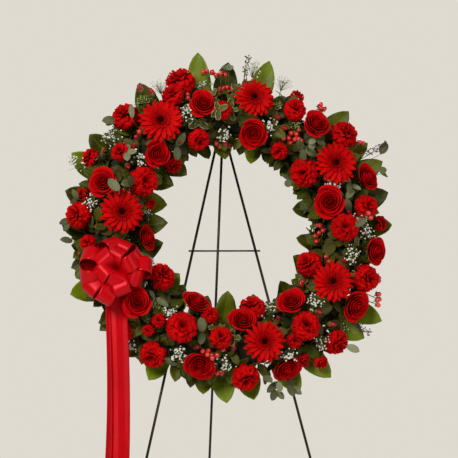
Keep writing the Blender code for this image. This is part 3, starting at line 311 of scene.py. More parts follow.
# Mesh builders. Each gives a batch: points, faces, material and the three carried numbers
def batch(points, faces, material, along=None, side=None, tone=None):
    # what isn't given is 0 at every point
    points = np.asarray(points, float).reshape(-1, 3)
    n = len(points)
    full = [np.zeros(n) if x is None else np.broadcast_to(x, n).astype(float) for x in (along, side, tone)]
    return {"points": points, "faces": faces, "material": material, "carried": full}


def copies(pattern, count, size):
    # the same faces for each copy, stepped on by the copy's number of points
    return (pattern[None] + (np.arange(count) * size)[:, None, None]).reshape(-1, pattern.shape[1])


def shell(grid, thick, material, tone=None):
    # each grid (copy, root to tip, side to side) becomes a closed thin plate: both faces stand off
    # half the thickness along the surface's normal, and a rim joins them
    n, a, b = grid.shape[:3]
    normal = unit(np.cross(np.gradient(grid, axis=1), np.gradient(grid, axis=2)))
    upper, lower = grid + normal * thick / 2, grid - normal * thick / 2
    both = np.concatenate([upper.reshape(n, -1, 3), lower.reshape(n, -1, 3)], axis=1)
    i = np.arange(a * b).reshape(a, b)
    top = np.stack([i[:-1, :-1], i[1:, :-1], i[1:, 1:], i[:-1, 1:]], axis=-1).reshape(-1, 4)
    rim = np.concatenate([i[:-1, 0], i[-1, :-1], i[:0:-1, -1], i[0, :0:-1]])
    after = np.roll(rim, -1)
    edge = np.stack([rim, rim + a * b, after + a * b, after], axis=-1)
    faces = copies(np.concatenate([top, top[:, ::-1] + a * b, edge]), n, 2 * a * b)
    u = np.tile(np.repeat(np.linspace(0, 1, a), b), 2 * n)
    v = np.tile(np.linspace(-1, 1, b), 2 * n * a)
    t = chance.uniform(0, 1, n) if tone is None else np.broadcast_to(tone, n)
    return batch(both, faces, material, u, v, np.repeat(t, 2 * a * b))


def tubeFaces(rows, sides):
    # quads between the rings of a tube, and a fan of triangles to the pole at either end
    i = np.arange(rows * sides).reshape(rows, sides)
    j = np.roll(i, -1, axis=1)
    south, north = np.full(sides, rows * sides), np.full(sides, rows * sides + 1)
    body = np.stack([i[:-1], j[:-1], j[1:], i[1:]], axis=-1).reshape(-1, 4)
    low = np.stack([j[0], i[0], south, south], axis=-1)
    high = np.stack([i[-1], j[-1], north, north], axis=-1)
    return np.concatenate([body, low, high])


def tubeAlong(rows, sides):
    # 0 at the first ring to 1 at the last, and the poles after them
    return np.concatenate([np.repeat(np.linspace(0, 1, rows), sides), [0.0, 1.0]])


def revolved(centres, ways, sizes, profile, sides, material, flute=0.0, flutes=5):
    # a profile of (radius, height) pairs turned about each way, closed by a pole at both ends;
    # flute swells the radius flutes times round
    centres, ways = np.atleast_2d(centres), np.atleast_2d(ways)
    n = len(centres)
    scale = np.broadcast_to(sizes, n)[:, None, None, None]
    profile = np.array(profile, float)
    rows = len(profile) - 2
    first, second = (side[:, None, None] for side in across(ways))
    angle = np.arange(sides) * 2 * math.pi / sides
    start = chance.uniform(0, 2 * math.pi, n)
    turned = (angle[None] + start[:, None])[:, None, :, None]
    radius = profile[1:-1, 0][:, None] * (1 + flute * np.cos(angle * flutes))[None]
    out = scale * radius[None, ..., None] * (np.cos(turned) * first + np.sin(turned) * second)
    rise = scale * profile[1:-1, 1][None, :, None, None] * ways[:, None, None]
    ring = centres[:, None, None] + out + rise
    poles = centres[:, None] + scale[..., 0] * profile[[0, -1], 1][None, :, None] * ways[:, None]
    points = np.concatenate([ring.reshape(n, -1, 3), poles], axis=1)
    size = rows * sides + 2
    tone = np.repeat(chance.uniform(0, 1, n), size)
    faces = copies(tubeFaces(rows, sides), n, size)
    return batch(points, faces, material, np.tile(tubeAlong(rows, sides), n), None, tone)


def stalks(paths, radius, sides, material, taper=1.0):
    # round stems along many paths at once; each ring is square to the path, both ends are closed
    paths = np.asarray(paths, float)
    if paths.ndim == 2:
        paths = paths[None]
    n, k = paths.shape[:2]
    way = unit(np.gradient(paths, axis=1))
    helper = across(unit(paths[:, -1] - paths[:, 0]))[0]
    first = unit(np.cross(np.broadcast_to(helper[:, None], way.shape), way))
    second = np.cross(way, first)
    angle = (np.arange(sides) * 2 * math.pi / sides)[None, None, :, None]
    width = (np.broadcast_to(radius, (n, k)) * np.linspace(1, taper, k)[None])[..., None, None]
    arm = np.cos(angle) * first[:, :, None] + np.sin(angle) * second[:, :, None]
    ring = paths[:, :, None] + width * arm
    points = np.concatenate([ring.reshape(n, -1, 3), paths[:, :1], paths[:, -1:]], axis=1)
    size = k * sides + 2
    tone = np.repeat(chance.uniform(0, 1, n), size)
    faces = copies(tubeFaces(k, sides), n, size)
    return batch(points, faces, material, np.tile(tubeAlong(k, sides), n), None, tone)


def bent(starts, ends, bow, count=5):
    # paths from start to end that bow to one side: start + (end - start) t + bow sin(pi t)
    t = np.linspace(0, 1, count)[None, :, None]
    return starts[:, None] + (ends - starts)[:, None] * t + bow[:, None] * np.sin(math.pi * t)


def buildPiece(name, batches, node=None, body="easel", ringAxes=True, smooth=True):
    # joins the batches in one mesh, in the row's axes, and says what it rides on and stands for
    points, corners, counts, slots, materials = [], [], [], [], []
    carriedRows = [[], [], []]
    total = 0
    for b in batches:
        if b["material"] not in materials:
            materials.append(b["material"])
        faces = np.asarray(b["faces"]) + total
        three = faces[:, 2] == faces[:, 3]
        keep = np.ones(faces.shape, bool)
        keep[three, 3] = False
        corners.append(faces[keep])
        counts.append(np.where(three, 3, 4))
        slots.append(np.full(len(faces), materials.index(b["material"])))
        points.append(b["points"])
        for k in range(3):
            carriedRows[k].append(b["carried"][k])
        total += len(b["points"])
    p = np.concatenate(points)
    if ringAxes:
        p = toRow(p)
    corners = np.concatenate(corners)
    counts = np.concatenate(counts)
    starts = np.concatenate([[0], np.cumsum(counts)[:-1]])
    mesh = bpy.data.meshes.new(name)
    mesh.vertices.add(len(p))
    mesh.vertices.foreach_set("co", p.astype(np.float32).ravel())
    mesh.loops.add(len(corners))
    mesh.loops.foreach_set("vertex_index", corners.astype(np.int32))
    mesh.polygons.add(len(counts))
    mesh.polygons.foreach_set("loop_start", starts.astype(np.int32))
    mesh.polygons.foreach_set("material_index", np.concatenate(slots).astype(np.int32))
    mesh.polygons.foreach_set("use_smooth", np.full(len(counts), smooth))
    for m in materials:
        mesh.materials.append(m)
    mesh.update(calc_edges=True)
    for word, rows in zip(("along", "side", "tone"), carriedRows):
        layer = mesh.attributes.new(word, "FLOAT", "POINT")
        layer.data.foreach_set("value", np.concatenate(rows).astype(np.float32))
    mesh.validate()
    piece = bpy.data.objects.new(name, mesh)
    bpy.context.scene.collection.objects.link(piece)
    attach(piece, body)
    if node:
        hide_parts(node)
    return piece


# Where each bloom sits: clock angle, distance from the middle and width in millimetres
blooms = {
    "rose": [
        (102, 285, 57), (135, 230, 55), (161, 299, 60), (188, 190, 52), (218, 272, 60), (245, 190, 60),
        (256, 318, 62), (275, 212, 55), (290, 338, 60), (307, 214, 57), (326, 326, 64), (350, 328, 57),
        (14, 228, 66), (20, 330, 58), (50, 306, 60), (76, 217, 60),
    ],
    "gerbera": [
        (123, 283, 96), (176, 247, 94), (284, 268, 90), (330, 256, 90), (31, 277, 94), (79, 298, 88),
    ],
    "carnation": [
        (108, 346, 58), (113, 322, 42), (133, 338, 52), (153, 219, 56), (176, 336, 50), (216, 197, 52),
        (243, 254, 58), (238, 335, 50), (283, 190, 50), (305, 276, 54), (334, 194, 50), (338, 320, 52),
        (312, 345, 50), (274, 336, 52), (36, 206, 56), (39, 336, 55), (359, 254, 54), (61, 304, 44),
        (8, 306, 46), (224, 330, 42), (110, 208, 42), (94, 264, 38), (263, 252, 42), (255, 206, 34),
    ],
    "mini": [
        (153, 346, 33), (146, 294, 34), (131, 190, 32), (168, 334, 30), (163, 186, 22), (187, 318, 30),
        (232, 268, 26), (231, 298, 22), (57, 207, 32), (62, 346, 26), (297, 290, 28), (298, 336, 28),
        (303, 360, 26), (2, 346, 28),
    ],
    "sprayCuts": [22, 68, 118, 160, 205, 250, 294, 325],
}
settling = {
    "rounds": 500,
    "gap": 0.0012,  # kept free between two blooms
    "push": 0.35,
    "bowPush": 0.6,
    "pull": 0.04,  # share of the way home in each round
    "pullFor": 0.6,  # share of the rounds that have a pull
    "startRoll": 14,
    "rollLimits": (12, 166),
    "gerberaDepth": 0.088,
    "bloomDepth": 0.0565,
    "gerberaLeast": 0.082,
    "bloomLeast": 0.0555,
    "stemFrom": 0.043,
    "back": 0.007,  # the furthest that a settled bloom goes back towards its place in the front view
}
bow = {
    "turn": math.radians(198),
    "roll": math.radians(88),
    "depth": 0.086,
    "ribbon": 0.037,
    "drop": 0.400,
}
bowMiddle = spot(np.float64(bow["turn"]), bow["roll"], bow["depth"])
bowAxis = unit(outward(np.float64(bow["turn"]), bow["roll"]) + [0, 0, 0.2])
down = -np.array([0.0, math.cos(lean), math.sin(lean)])


def faceWay(place):
    # a bloom looks out of the ring's tube, turned a little to the front
    turn, roll, depth = toRing(place)
    return unit(outward(turn, roll) + [0.0, 0.0, 0.4])


def streamerPath(side):
    # a streamer of the solids: two points under the knot, then straight down with a small wave;
    # side is -1 for the left one and 1 for the right one, which starts lower and nearer the ring
    along = bowMiddle[0] - 0.003 + side * 0.0095
    ahead = -0.0035 if side > 0 else 0.0
    tuck = 0.0024 if side > 0 else 0.0006
    start = np.array([along, bowMiddle[1] - 0.072, 0.0730 + ahead])
    t = np.linspace(0, 1, 8)[:, None]
    sway = 0.006 * np.sin(t * 3.0) + side * 0.004 * t
    wave = np.concatenate([sway, np.zeros_like(t), 0.003 * np.sin(t * 8.0)], axis=1)
    first = [bowMiddle[0] + side * 0.006, bowMiddle[1] - tuck, 0.0640 + ahead]
    second = [along, bowMiddle[1] - 0.035, 0.0645 + ahead]
    return np.concatenate([[first, second], start + down * bow["drop"] * t + wave])


def ballsOf(head):
    # one ball stands for a bloom, but a gerbera is a disc: a middle ball and two rings of small ones
    if head["kind"] != "gerbera":
        return np.zeros((1, 3)), np.array([head["size"]])
    way = faceWay(head["place"])
    first, second = (x[0] for x in across(way))
    rows, radii = [way * -0.004], [0.014]
    for count, far, radius in ((16, head["size"] - 0.0085, 0.0085), (9, 0.022, 0.010)):
        a = 2 * math.pi * np.arange(count)[:, None] / count
        rows += list(far * (np.cos(a) * first + np.sin(a) * second) + way * 0.002)
        radii += [radius] * count
    return np.array(rows), np.array(radii)


def bowBalls():
    # balls that stand for the bow and for the tops of the streamers
    first, second = (x[0] for x in across(bowAxis))
    a = 2 * math.pi * np.arange(10)[:, None] / 10
    rows = [bowMiddle, *(bowMiddle + 0.049 * (np.cos(a) * first + np.sin(a) * second))]
    radii = [0.030] + [0.024] * 10
    for side in (-1, 1):
        path = streamerPath(side)
        for a, b in zip(path[:6], path[1:7]):
            for t in (0.0, 0.25, 0.5, 0.75):
                for shove in (-0.014, 0.0, 0.014):
                    rows.append(a + (b - a) * t + np.array([shove, 0.0, -0.002]))
                    radii.append(0.0070)
    return np.array(rows), np.array(radii)


def allBalls(heads):
    sets = [ballsOf(h) for h in heads]
    middles = np.concatenate([h["place"] + offsets for h, (offsets, radii) in zip(heads, sets)])
    owner = np.repeat(np.arange(len(heads)), [len(radii) for offsets, radii in sets])
    return middles, np.concatenate([radii for offsets, radii in sets]), owner


def firstPlaces():
    # each bloom on its clock and reach, as high over the foam as its own size asks
    heads = []
    steep = math.radians(settling["startRoll"])
    for kind in ("rose", "gerbera", "carnation", "mini"):
        for k, (clock, reach, wide) in enumerate(blooms[kind]):
            size, reach = wide / 2000, reach / 1000
            depth = settling["gerberaDepth"] if kind == "gerbera" else settling["bloomDepth"] + size
            roll = max(float(rollFor(reach, depth)), steep)
            if abs(reach - ringRadius) > depth * math.cos(steep):
                depth = abs(reach - ringRadius) / math.cos(steep)
            if kind == "gerbera":
                roll = math.radians(90) + (roll - math.radians(90)) * 0.9
            place = spot(np.float64(math.radians(clock)), roll, depth)
            head = {"kind": kind, "number": k + 1, "size": size, "place": place, "home": place.copy()}
            heads.append(head)
    return heads


def crowdMoves(p, r, owner, count):
    # every ball is pushed out of the balls of other blooms and of the bow by a share of the overlap
    apart = p[:, None] - p[None]
    far = np.linalg.norm(apart, axis=2) + 1e-9
    deep = r[:, None] + r[None] + settling["gap"] - far
    deep[owner[:, None] == owner[None]] = 0
    push = (apart / far[..., None]) * np.maximum(deep, 0)[..., None] * settling["push"]
    toBow = p[:, None] - bowRows[None]
    farBow = np.linalg.norm(toBow, axis=2) + 1e-9
    deepBow = np.maximum(r[:, None] + bowRadii[None] + settling["gap"] - farBow, 0)
    pushBow = (toBow / farBow[..., None] * deepBow[..., None]).sum(1) * settling["bowPush"]
    move = np.zeros((count, 3))
    for k in range(count):
        pushes = push[owner == k].reshape(-1, 3)
        used = pushes[np.abs(pushes).sum(1) > 0]
        if len(used):
            move[k] += used.sum(0) / max(1.0, len(used) ** 0.5)
        move[k] += pushBow[owner == k].sum(0)
    return move


def stemMoves(heads, p, r, owner, move):
    # a ball that lies on another bloom's stem and the bloom of that stem give way to each other
    for k, h in enumerate(heads):
        turn, roll, depth = toRing(h["place"])
        low = spot(turn, roll, settling["stemFrom"])
        line = h["place"] - outward(turn, roll) * h["size"] * 0.5 - low
        t = np.clip(((p - low) @ line) / max(line @ line, 1e-9), 0, 1)
        away = p - low - t[:, None] * line
        dist = np.linalg.norm(away, axis=1) + 1e-9
        short = np.maximum(r + wreath["stemRadius"] + 0.001 - dist, 0)
        short[owner == k] = 0
        for j in np.nonzero(short > 0)[0]:
            shove = away[j] / dist[j] * short[j] * settling["push"]
            move[owner[j]] += shove
            move[k] -= shove


def settleBlooms():
    # blooms that would touch are pushed apart, and drawn softly to their homes, as in the solids
    heads = firstPlaces()
    lowRoll, highRoll = (math.radians(limit) for limit in settling["rollLimits"])
    for step in range(settling["rounds"]):
        p, r, owner = allBalls(heads)
        move = crowdMoves(p, r, owner, len(heads))
        stemMoves(heads, p, r, owner, move)
        pull = settling["pull"] if step < settling["rounds"] * settling["pullFor"] else 0.0
        for k, h in enumerate(heads):
            h["place"] = h["place"] + move[k] + pull * (h["home"] - h["place"])
            turn, roll, depth = toRing(h["place"])
            roll = min(max(roll, lowRoll), highRoll)
            flat = h["kind"] == "gerbera"
            least = settling["gerberaLeast"] if flat else settling["bloomLeast"] + h["size"]
            h["place"] = spot(turn, np.float64(roll), max(depth, least))
    for h in heads:
        turn, h["roll"], depth = toRing(h["place"])
        h["turn"] = turn % (2 * math.pi)
        h["way"] = faceWay(h["place"])
        h["frame"] = np.stack([*(x[0] for x in across(h["way"])), h["way"]])
    return heads


view = {
    "azimuth": -8.0,
    "distance": 3.0,
    "lens": 107.0,
    "aim": (-0.0070, -0.0078),
    "layer": 0.088,  # height of the blooms over the ring's plane
    "shiftRight": 0.139,
    "shiftUp": 0.158,
}


def seenAt(clock, reach, high):
    # the place at a height over the ring's plane that is seen in front view at a clock and reach of the
    # blooms' layer: below it, things stand further out by the drop over the camera's distance, and
    # further right and higher by fixed shares of it
    a = np.radians(clock)
    drop = view["layer"] - high
    far = reach * (1 + drop / view["distance"])
    right, up = far * np.cos(a) + view["shiftRight"] * drop, far * np.sin(a) + view["shiftUp"] * drop
    return np.stack(np.broadcast_arrays(right, up, high), axis=-1)


bowRows, bowRadii = bowBalls()
heads = settleBlooms()
for h in heads:
    clock, reach, wide = blooms[h["kind"]][h["number"] - 1]
    wanted = seenAt(float(clock), reach / 1000, h["place"][2]) * [1.0, 0.988, 1.0]
    away = wanted - h["place"]
    h["place"] = h["place"] + away * min(1.0, settling["back"] / (np.linalg.norm(away) + 1e-9))
fullBalls, fullRadii, owner = allBalls(heads)
fullBalls = np.concatenate([fullBalls, bowRows])
fullRadii = np.concatenate([fullRadii, bowRadii])
print("blooms settled:", len(heads))


def inPlace(head, local):
    # local numbers are in bloom sizes along the bloom's own three axes
    return head["place"] + (local * head["size"]) @ head["frame"]


# Roses
rose = {"petals": 19, "rows": 10, "columns": 11, "thick": 0.0005, "scale": 1.12, "sepals": 5}
sepal = [(0, -1.0), (0.16, -0.98), (0.30, -0.80), (0.36, -0.62), (0.20, -0.50), (0, -0.45)]


def rosePetals(head):
    # petal k opens at the golden angle; its middle line is a cubic curve up the side of a cup and
    # over its rim, and the cups widen faster and faster and sink from the first petal to the last
    n = rose["petals"]
    k = np.arange(n)[:, None, None]
    t = k / (n - 1)
    u = np.linspace(0, 1, rose["rows"])[None, :, None]
    v = np.linspace(-1, 1, rose["columns"])[None, None, :]
    rim = 0.07 + 0.86 * t ** 1.25 + 0.02 * chance.uniform(-1, 1, (n, 1, 1))
    high = 0.62 - 0.46 * t ** 1.5 + 0.03 * chance.uniform(-1, 1, (n, 1, 1))
    curl = np.clip(t * 1.4 - 0.35, 0, 1)
    s = u * (1 - 0.20 * np.abs(v) ** 2.6)
    q = 1 - s
    reach = (
        q ** 3 * 0.05
        + 3 * q * q * s * rim * (1 - 0.40 * t)
        + 3 * q * s * s * rim * (1 - 0.14 * t)
        + s ** 3 * (rim + curl * 0.16)
    )
    rise = (
        q ** 3 * -0.70
        + 3 * q * q * s * (-0.20 - 0.30 * t)
        + 3 * q * s * s * high * 0.9
        + s ** 3 * (high - curl * 0.12)
    )
    half = np.radians(108 - 52 * t)
    turn = k * goldenAngle + chance.uniform(-0.14, 0.14, (n, 1, 1))
    angle = turn + v * half * np.sin(math.pi * (0.16 + 0.46 * s))
    reach = reach * (1 + 0.085 * v) + 0.015 * s ** 3 * np.sin(5 * v + k)
    rise = rise + 0.022 * s ** 4 * np.sin(4 * v + 2 * k)
    local = np.stack([reach * np.cos(angle), reach * np.sin(angle), rise * np.ones_like(angle)], axis=-1)
    grid = inPlace(head, local * rose["scale"])
    # the inner petals get darker tones: painted shade in the heart of the rose
    tone = np.clip(0.10 + 0.90 * t[:, 0, 0] ** 0.6 + chance.uniform(-0.10, 0.10, n), 0, 1)
    return shell(grid, rose["thick"], roseRed, tone=tone)


def stemOf(head):
    # a stem from under the bloom into the foam
    under = 0.28 if head["kind"] == "gerbera" else 0.95
    neck = head["place"] - head["way"] * head["size"] * under
    entry = spot(head["turn"], head["roll"], settling["stemFrom"])
    foot = entry + unit(entry - neck) * 0.019
    path = np.array([[foot, entry, (entry + neck) / 2, neck]])
    return stalks(path, wreath["stemRadius"], 8, stemGreen)


def perLeaf(value, n):
    return np.broadcast_to(value, n).astype(float)[:, None, None]


def leaves(bases, alongs, sides, lengths, widths, material, bend=0.0, cup=0.1, wave=0.0, waves=5.0,
           rows=7, columns=5, shape=0.75, thick=0.0005, tone=None, point=0.6, twist=0.0):
    # a leaf: its half width is u to the power shape times (1 - u) to the power point, scaled to its
    # widest; the blade lifts by bend u squared along its length, by cup to its rim, and waves there
    n = len(bases)
    bases, alongs = np.asarray(bases, float), unit(alongs)
    sides = np.asarray(sides, float)
    sides = unit(sides - (sides * alongs).sum(-1, keepdims=True) * alongs)
    normal = np.cross(alongs, sides)
    u = np.linspace(0, 1, rows)[None, :, None]
    v = np.linspace(-1, 1, columns)[None, None, :]
    outline = np.clip(u, 0.004, 1) ** shape * np.clip(1 - u, 0.0, 1) ** point
    outline = np.maximum(outline / outline.max(), 0.03)
    length, width = perLeaf(lengths, n), perLeaf(widths, n)
    bend, cup, wave, twist = (perLeaf(value, n) for value in (bend, cup, wave, twist))
    phase = chance.uniform(0, 6.28, (n, 1, 1))
    roll = twist * u
    out = v * outline * width / 2
    lift = bend * u * u * length + cup * np.abs(v) * outline * width
    lift = lift + wave * outline * width * np.abs(v) * np.sin(u * waves * 2 + phase + 2 * v)
    flat = out * np.cos(roll) - lift * np.sin(roll)
    up = out * np.sin(roll) + lift * np.cos(roll)
    far = u * length * (1 - 0.25 * np.abs(bend) * u)
    grid = (
        bases[:, None, None]
        + alongs[:, None, None] * far[..., None] * np.ones_like(v)[..., None]
        + sides[:, None, None] * flat[..., None]
        + normal[:, None, None] * up[..., None]
    )
    return shell(grid, thick, material, tone=tone)


def sepals(head):
    # narrow green leaves under a bloom, bent out and down from its base
    size = head["size"]
    a = np.arange(rose["sepals"]) * 2 * math.pi / rose["sepals"]
    arm = np.cos(a)[:, None] * head["frame"][0] + np.sin(a)[:, None] * head["frame"][1]
    base = head["place"] - head["way"] * size * 0.72 + arm * size * 0.12
    along = arm * 0.8 + head["way"] * 0.45
    side = np.cross(head["way"], arm)
    return leaves(base, along, side, size * 0.55, size * 0.2, stemGreen, bend=-0.3, rows=5, columns=3)


for h in heads:
    if h["kind"] == "rose":
        name = f"rose_{h['number']:02d}"
        calyx = revolved(h["place"], h["way"], h["size"], sepal, 12, stemGreen)
        buildPiece(name + "_bloom", [rosePetals(h), calyx, sepals(h), stemOf(h)], name)
print("roses built")

# Gerberas: two layers of ray petals, two rings of short ones, and a dark eye of tiny florets
gerbera = {
    "layers": [
        {"count": 20, "start": 0.13, "length": 1.06, "width": 0.150, "root": 0.045, "tipRise": 0.12,
         "sag": 0.10, "turn": 0.0, "rows": 9, "columns": 7, "tone": (0.2, 0.8)},
        {"count": 17, "start": 0.13, "length": 0.93, "width": 0.140, "root": 0.085, "tipRise": 0.20,
         "sag": 0.10, "turn": 0.14, "rows": 9, "columns": 7, "tone": (0.5, 1.0)},
        {"count": 22, "start": 0.12, "length": 0.46, "width": 0.066, "root": 0.11, "tipRise": 0.20,
         "sag": 0.10, "turn": 0.05, "rows": 6, "columns": 3, "tone": (0.0, 0.25)},
        {"count": 30, "start": 0.10, "length": 0.27, "width": 0.024, "root": 0.13, "tipRise": 0.16,
         "sag": 0.0, "turn": 0.0, "rows": 4, "columns": 3, "tone": (0.0, 0.0)},
    ],
    "notch": 0.03,
    "thick": 0.0004,
    "eye": 0.15,
    "florets": 90,
    "floret": 0.014,
}
domeShape = [(0, 0.0), (0.16, 0.02), (0.165, 0.10), (0.12, 0.16), (0.05, 0.19), (0, 0.195)]
floretShape = [(0, -1), (0.9, -0.4), (0.7, 0.9), (0, 1.3)]
cupShape = [(0, -0.30), (0.10, -0.28), (0.24, -0.12), (0.28, 0.0), (0.20, 0.05), (0, 0.06)]


def rays(head, layer):
    # a ray petal: half width = width sin(pi (0.93 u + 0.04)^0.85)^0.6, with two grooves, rising from
    # the root and sagging to its notched tip
    count = layer["count"]
    k = np.arange(count)[:, None, None]
    u = np.linspace(0.0, 1, layer["rows"])[None, :, None]
    v = np.linspace(-1, 1, layer["columns"])[None, None, :]
    long = layer["length"] * (1 + 0.05 * chance.uniform(-1, 1, (count, 1, 1)))
    outline = np.maximum(np.sin(math.pi * np.clip(u * 0.93 + 0.04, 0, 1) ** 0.85), 0.05) ** 0.6
    a = layer["turn"] + 2 * math.pi * k / count + 0.05 * chance.uniform(-1, 1, (count, 1, 1))
    notch = gerbera["notch"] * u ** 6 * (np.cos(v * 5) * 0.5 + 0.5)
    reach = layer["start"] + (long - layer["start"]) * (u - notch)
    out = v * layer["width"] * outline
    rise = layer["root"] + layer["tipRise"] * u - layer["sag"] * u * u
    rise = rise + 0.014 * np.cos(v * 3 * math.pi) * outline + 0.03 * np.abs(v) * outline
    rise = rise + 0.03 * chance.uniform(-1, 1, (count, 1, 1)) * u + 0.045 * v * outline
    right = reach * np.cos(a) - out * np.sin(a)
    up = reach * np.sin(a) + out * np.cos(a)
    local = np.stack([right, up, rise * np.ones_like(reach * out)], axis=-1)
    tone = chance.uniform(*layer["tone"], count)
    return shell(inPlace(head, local), gerbera["thick"], gerberaRed, tone=tone)


def eyeOf(head):
    # a low dome, and florets on it at the golden angle, their distance growing as a square root
    n, eye = gerbera["florets"], gerbera["eye"]
    k = np.arange(n)
    far = eye * np.sqrt((k + 0.5) / n)
    a = k * goldenAngle
    rise = 0.14 + 0.06 * (1 - (far / eye) ** 2)
    centres = inPlace(head, np.stack([far * np.cos(a), far * np.sin(a), rise], axis=-1))
    ways = np.broadcast_to(head["way"], (n, 3))
    bumps = revolved(centres, ways, head["size"] * gerbera["floret"], floretShape, 5, gerberaEye)
    return [revolved(head["place"], head["way"], head["size"], domeShape, 24, gerberaEye), bumps]


for h in heads:
    if h["kind"] == "gerbera":
        name = f"gerbera_{h['number']:02d}"
        parts = [
            *(rays(h, layer) for layer in gerbera["layers"]),
            *eyeOf(h),
            revolved(h["place"], h["way"], h["size"], cupShape, 16, stemGreen),
            stemOf(h),
        ]
        buildPiece(name + "_bloom", parts, name)
print("gerberas built")

# Carnations: fans of petal with a crinkled, toothed rim, all over a dome
carnation = {
    "petals": {"carnation": 30, "mini": 18},
    "scale": {"carnation": 1.20, "mini": 1.28},
    "rows": 7,
    "columns": 11,
    "thick": 0.0004,
}
calyxShape = [
    (0, -1.06), (0.10, -1.04), (0.20, -0.90), (0.24, -0.62), (0.26, -0.36), (0.10, -0.30), (0, -0.28),
]


def carnationPetals(head):
    # petal k points at the golden angle; its middle line runs up from the root and then bends over
    # the dome, the fan widens to the rim, the rim ruffles in and out and its edge is toothed
    count = carnation["petals"][head["kind"]]
    k = np.arange(count)[:, None, None]
    u = np.linspace(0, 1, carnation["rows"])[None, :, None]
    v = np.linspace(-1, 1, carnation["columns"])[None, None, :]
    t = (k + 0.5) / count
    polar = np.arccos(1 - 1.16 * t) + 0.10 * chance.uniform(-1, 1, (count, 1, 1))
    turn = k * goldenAngle + chance.uniform(-0.25, 0.25, (count, 1, 1))
    bendOver = polar * (0.35 + 0.60 * u) + (0.18 + 0.30 * t) * u ** 3
    reach = 0.96 * np.sin(np.clip(0.12 + 1.32 * u, 0, 1.5))
    reach = reach * (1 + 0.05 * chance.uniform(-1, 1, (count, 1, 1)))
    tooth = np.where(np.arange(carnation["columns"]) % 2 == 0, 1.0, -1.0)[None, None, :]
    phase = chance.uniform(0, 6.28, (count, 1, 1))
    reach = reach + 0.085 * u ** 2 * np.sin(v * 4.6 + phase) + 0.02 * tooth * u ** 4
    ruffle = 0.07 * u ** 2 * np.cos(v * 5.3 + phase)
    bendOver = bendOver - 0.20 * v * v * u ** 2 + 0.05 * tooth * u ** 6 + ruffle
    out = reach * np.sin(bendOver)
    up = reach * np.cos(bendOver) - 0.30 * (1 - u)
    half = (0.10 + 0.40 * u ** 0.9) * (0.75 + 0.25 * t)
    right = out * np.cos(turn) - v * half * np.sin(turn)
    ahead = out * np.sin(turn) + v * half * np.cos(turn)
    local = np.stack([right, ahead, up * np.ones_like(v)], axis=-1)
    far = np.linalg.norm(local, axis=-1, keepdims=True)
    local = local * np.minimum(1.0, 1.02 / np.maximum(far, 1e-6)) * carnation["scale"][head["kind"]]
    tone = chance.uniform(0.25, 1, count)
    return shell(inPlace(head, local), carnation["thick"], carnationRed, tone=tone)


def sector(clock, cuts):
    # the number of the first cut past a clock angle; past the last one it is the first sector again
    return next((k for k, cut in enumerate(sorted(cuts)) if clock < cut), 0)


sprays = [[] for cut in blooms["sprayCuts"]]
for h in heads:
    if h["kind"] in ("carnation", "mini"):
        sprays[sector(math.degrees(h["turn"]), blooms["sprayCuts"])].append(h)
for k, members in enumerate(sprays):
    parts = []
    for h in members:
        parts.append(carnationPetals(h))
        parts.append(revolved(h["place"], h["way"], h["size"], calyxShape, 10, stemGreen))
        parts.append(stemOf(h))
    name = f"carnation_spray_{k + 1}"
    buildPiece(name + "_blooms", parts, name)
print("carnations built")

# Salal leaves round the rim and round the hole: clock angle and reach in millimetres of each tip
salal = {
    "outer": [
        (100, 400), (90, 372), (76, 388), (44, 379), (31, 366), (23, 378), (12, 365), (0, 364),
        (327, 394), (319, 384), (302, 398), (291, 396), (276, 384), (267, 388), (259, 378), (241, 384),
        (231, 368), (215, 356), (203, 385), (187, 356), (168, 372), (155, 388), (147, 374), (122, 379),
        (180, 372),
    ],
    "inner": [
        (131, 148), (108, 156), (94, 151), (145, 156), (162, 150), (177, 142), (194, 157), (222, 157),
        (231, 168), (250, 164), (266, 145), (286, 158), (310, 160), (333, 149), (350, 147), (15, 142),
        (30, 160), (45, 158), (72, 146), (60, 166),
    ],
    "outerCuts": [59, 136, 224.5, 312],
    "innerCuts": [2.5, 52, 119.5, 185.5, 239.5, 298],
    "outerBranch": (-42, 0.0395),  # roll in degrees and depth round the ring's tube
    "innerBranch": (222, 0.0406),
}


def pick(rows, cuts, k):
    return [row for row in rows if sector(row[0], cuts) == k]


def branchSpot(a, inner):
    roll, depth = salal["innerBranch" if inner else "outerBranch"]
    return spot(a, math.radians(roll), depth)


def leafSet(rows, inner):
    # each leaf runs from its branch behind the foam to the place where its tip is seen in front view
    clock, reach = np.array(rows, float).T
    n, a, reach = len(rows), np.radians(clock), reach / 1000
    base = branchSpot(a, inner)
    odd = np.arange(n) % 2
    high = (-0.004 + 0.008 * odd) if inner else (0.004 + 0.010 * odd)
    tip = seenAt(clock, reach, high)
    length = np.linalg.norm(tip - base, axis=1)
    side = np.stack([-np.sin(a), np.cos(a), chance.uniform(-0.25, 0.25, n)], axis=-1)
    side = side * np.where(np.cross(tip - base, side)[:, 2] < 0, -1.0, 1.0)[:, None]
    width = np.clip(length * 0.60, 0.034, 0.056)
    # leaves whose tips reach furthest out get the lightest tones, the others darker ones
    farTone, plain = chance.uniform(0.82, 1.0, n), chance.uniform(0.0, 0.75, n)
    tone = np.where(reach > 0.383, farTone, plain)
    bend, twist = chance.uniform(-0.06, 0.06, n), chance.uniform(-0.3, 0.3, n)
    return leaves(base, tip - base, side, length, width, salalGreen, bend=bend, cup=0.12, wave=0.10,
                  rows=12, columns=9, shape=0.62, point=0.72, thick=0.0006, twist=twist, tone=tone)


def branchAlong(rows, inner):
    # one thin branch past the roots of a sector's leaves
    first = rows[0][0]
    turns = sorted((row[0] - first + 180) % 360 - 180 for row in rows)
    a = np.radians(first + np.linspace(turns[0] - 1, turns[-1] + 1, 12))
    return stalks(branchSpot(a, inner), 0.0018, 6, stemGreen)


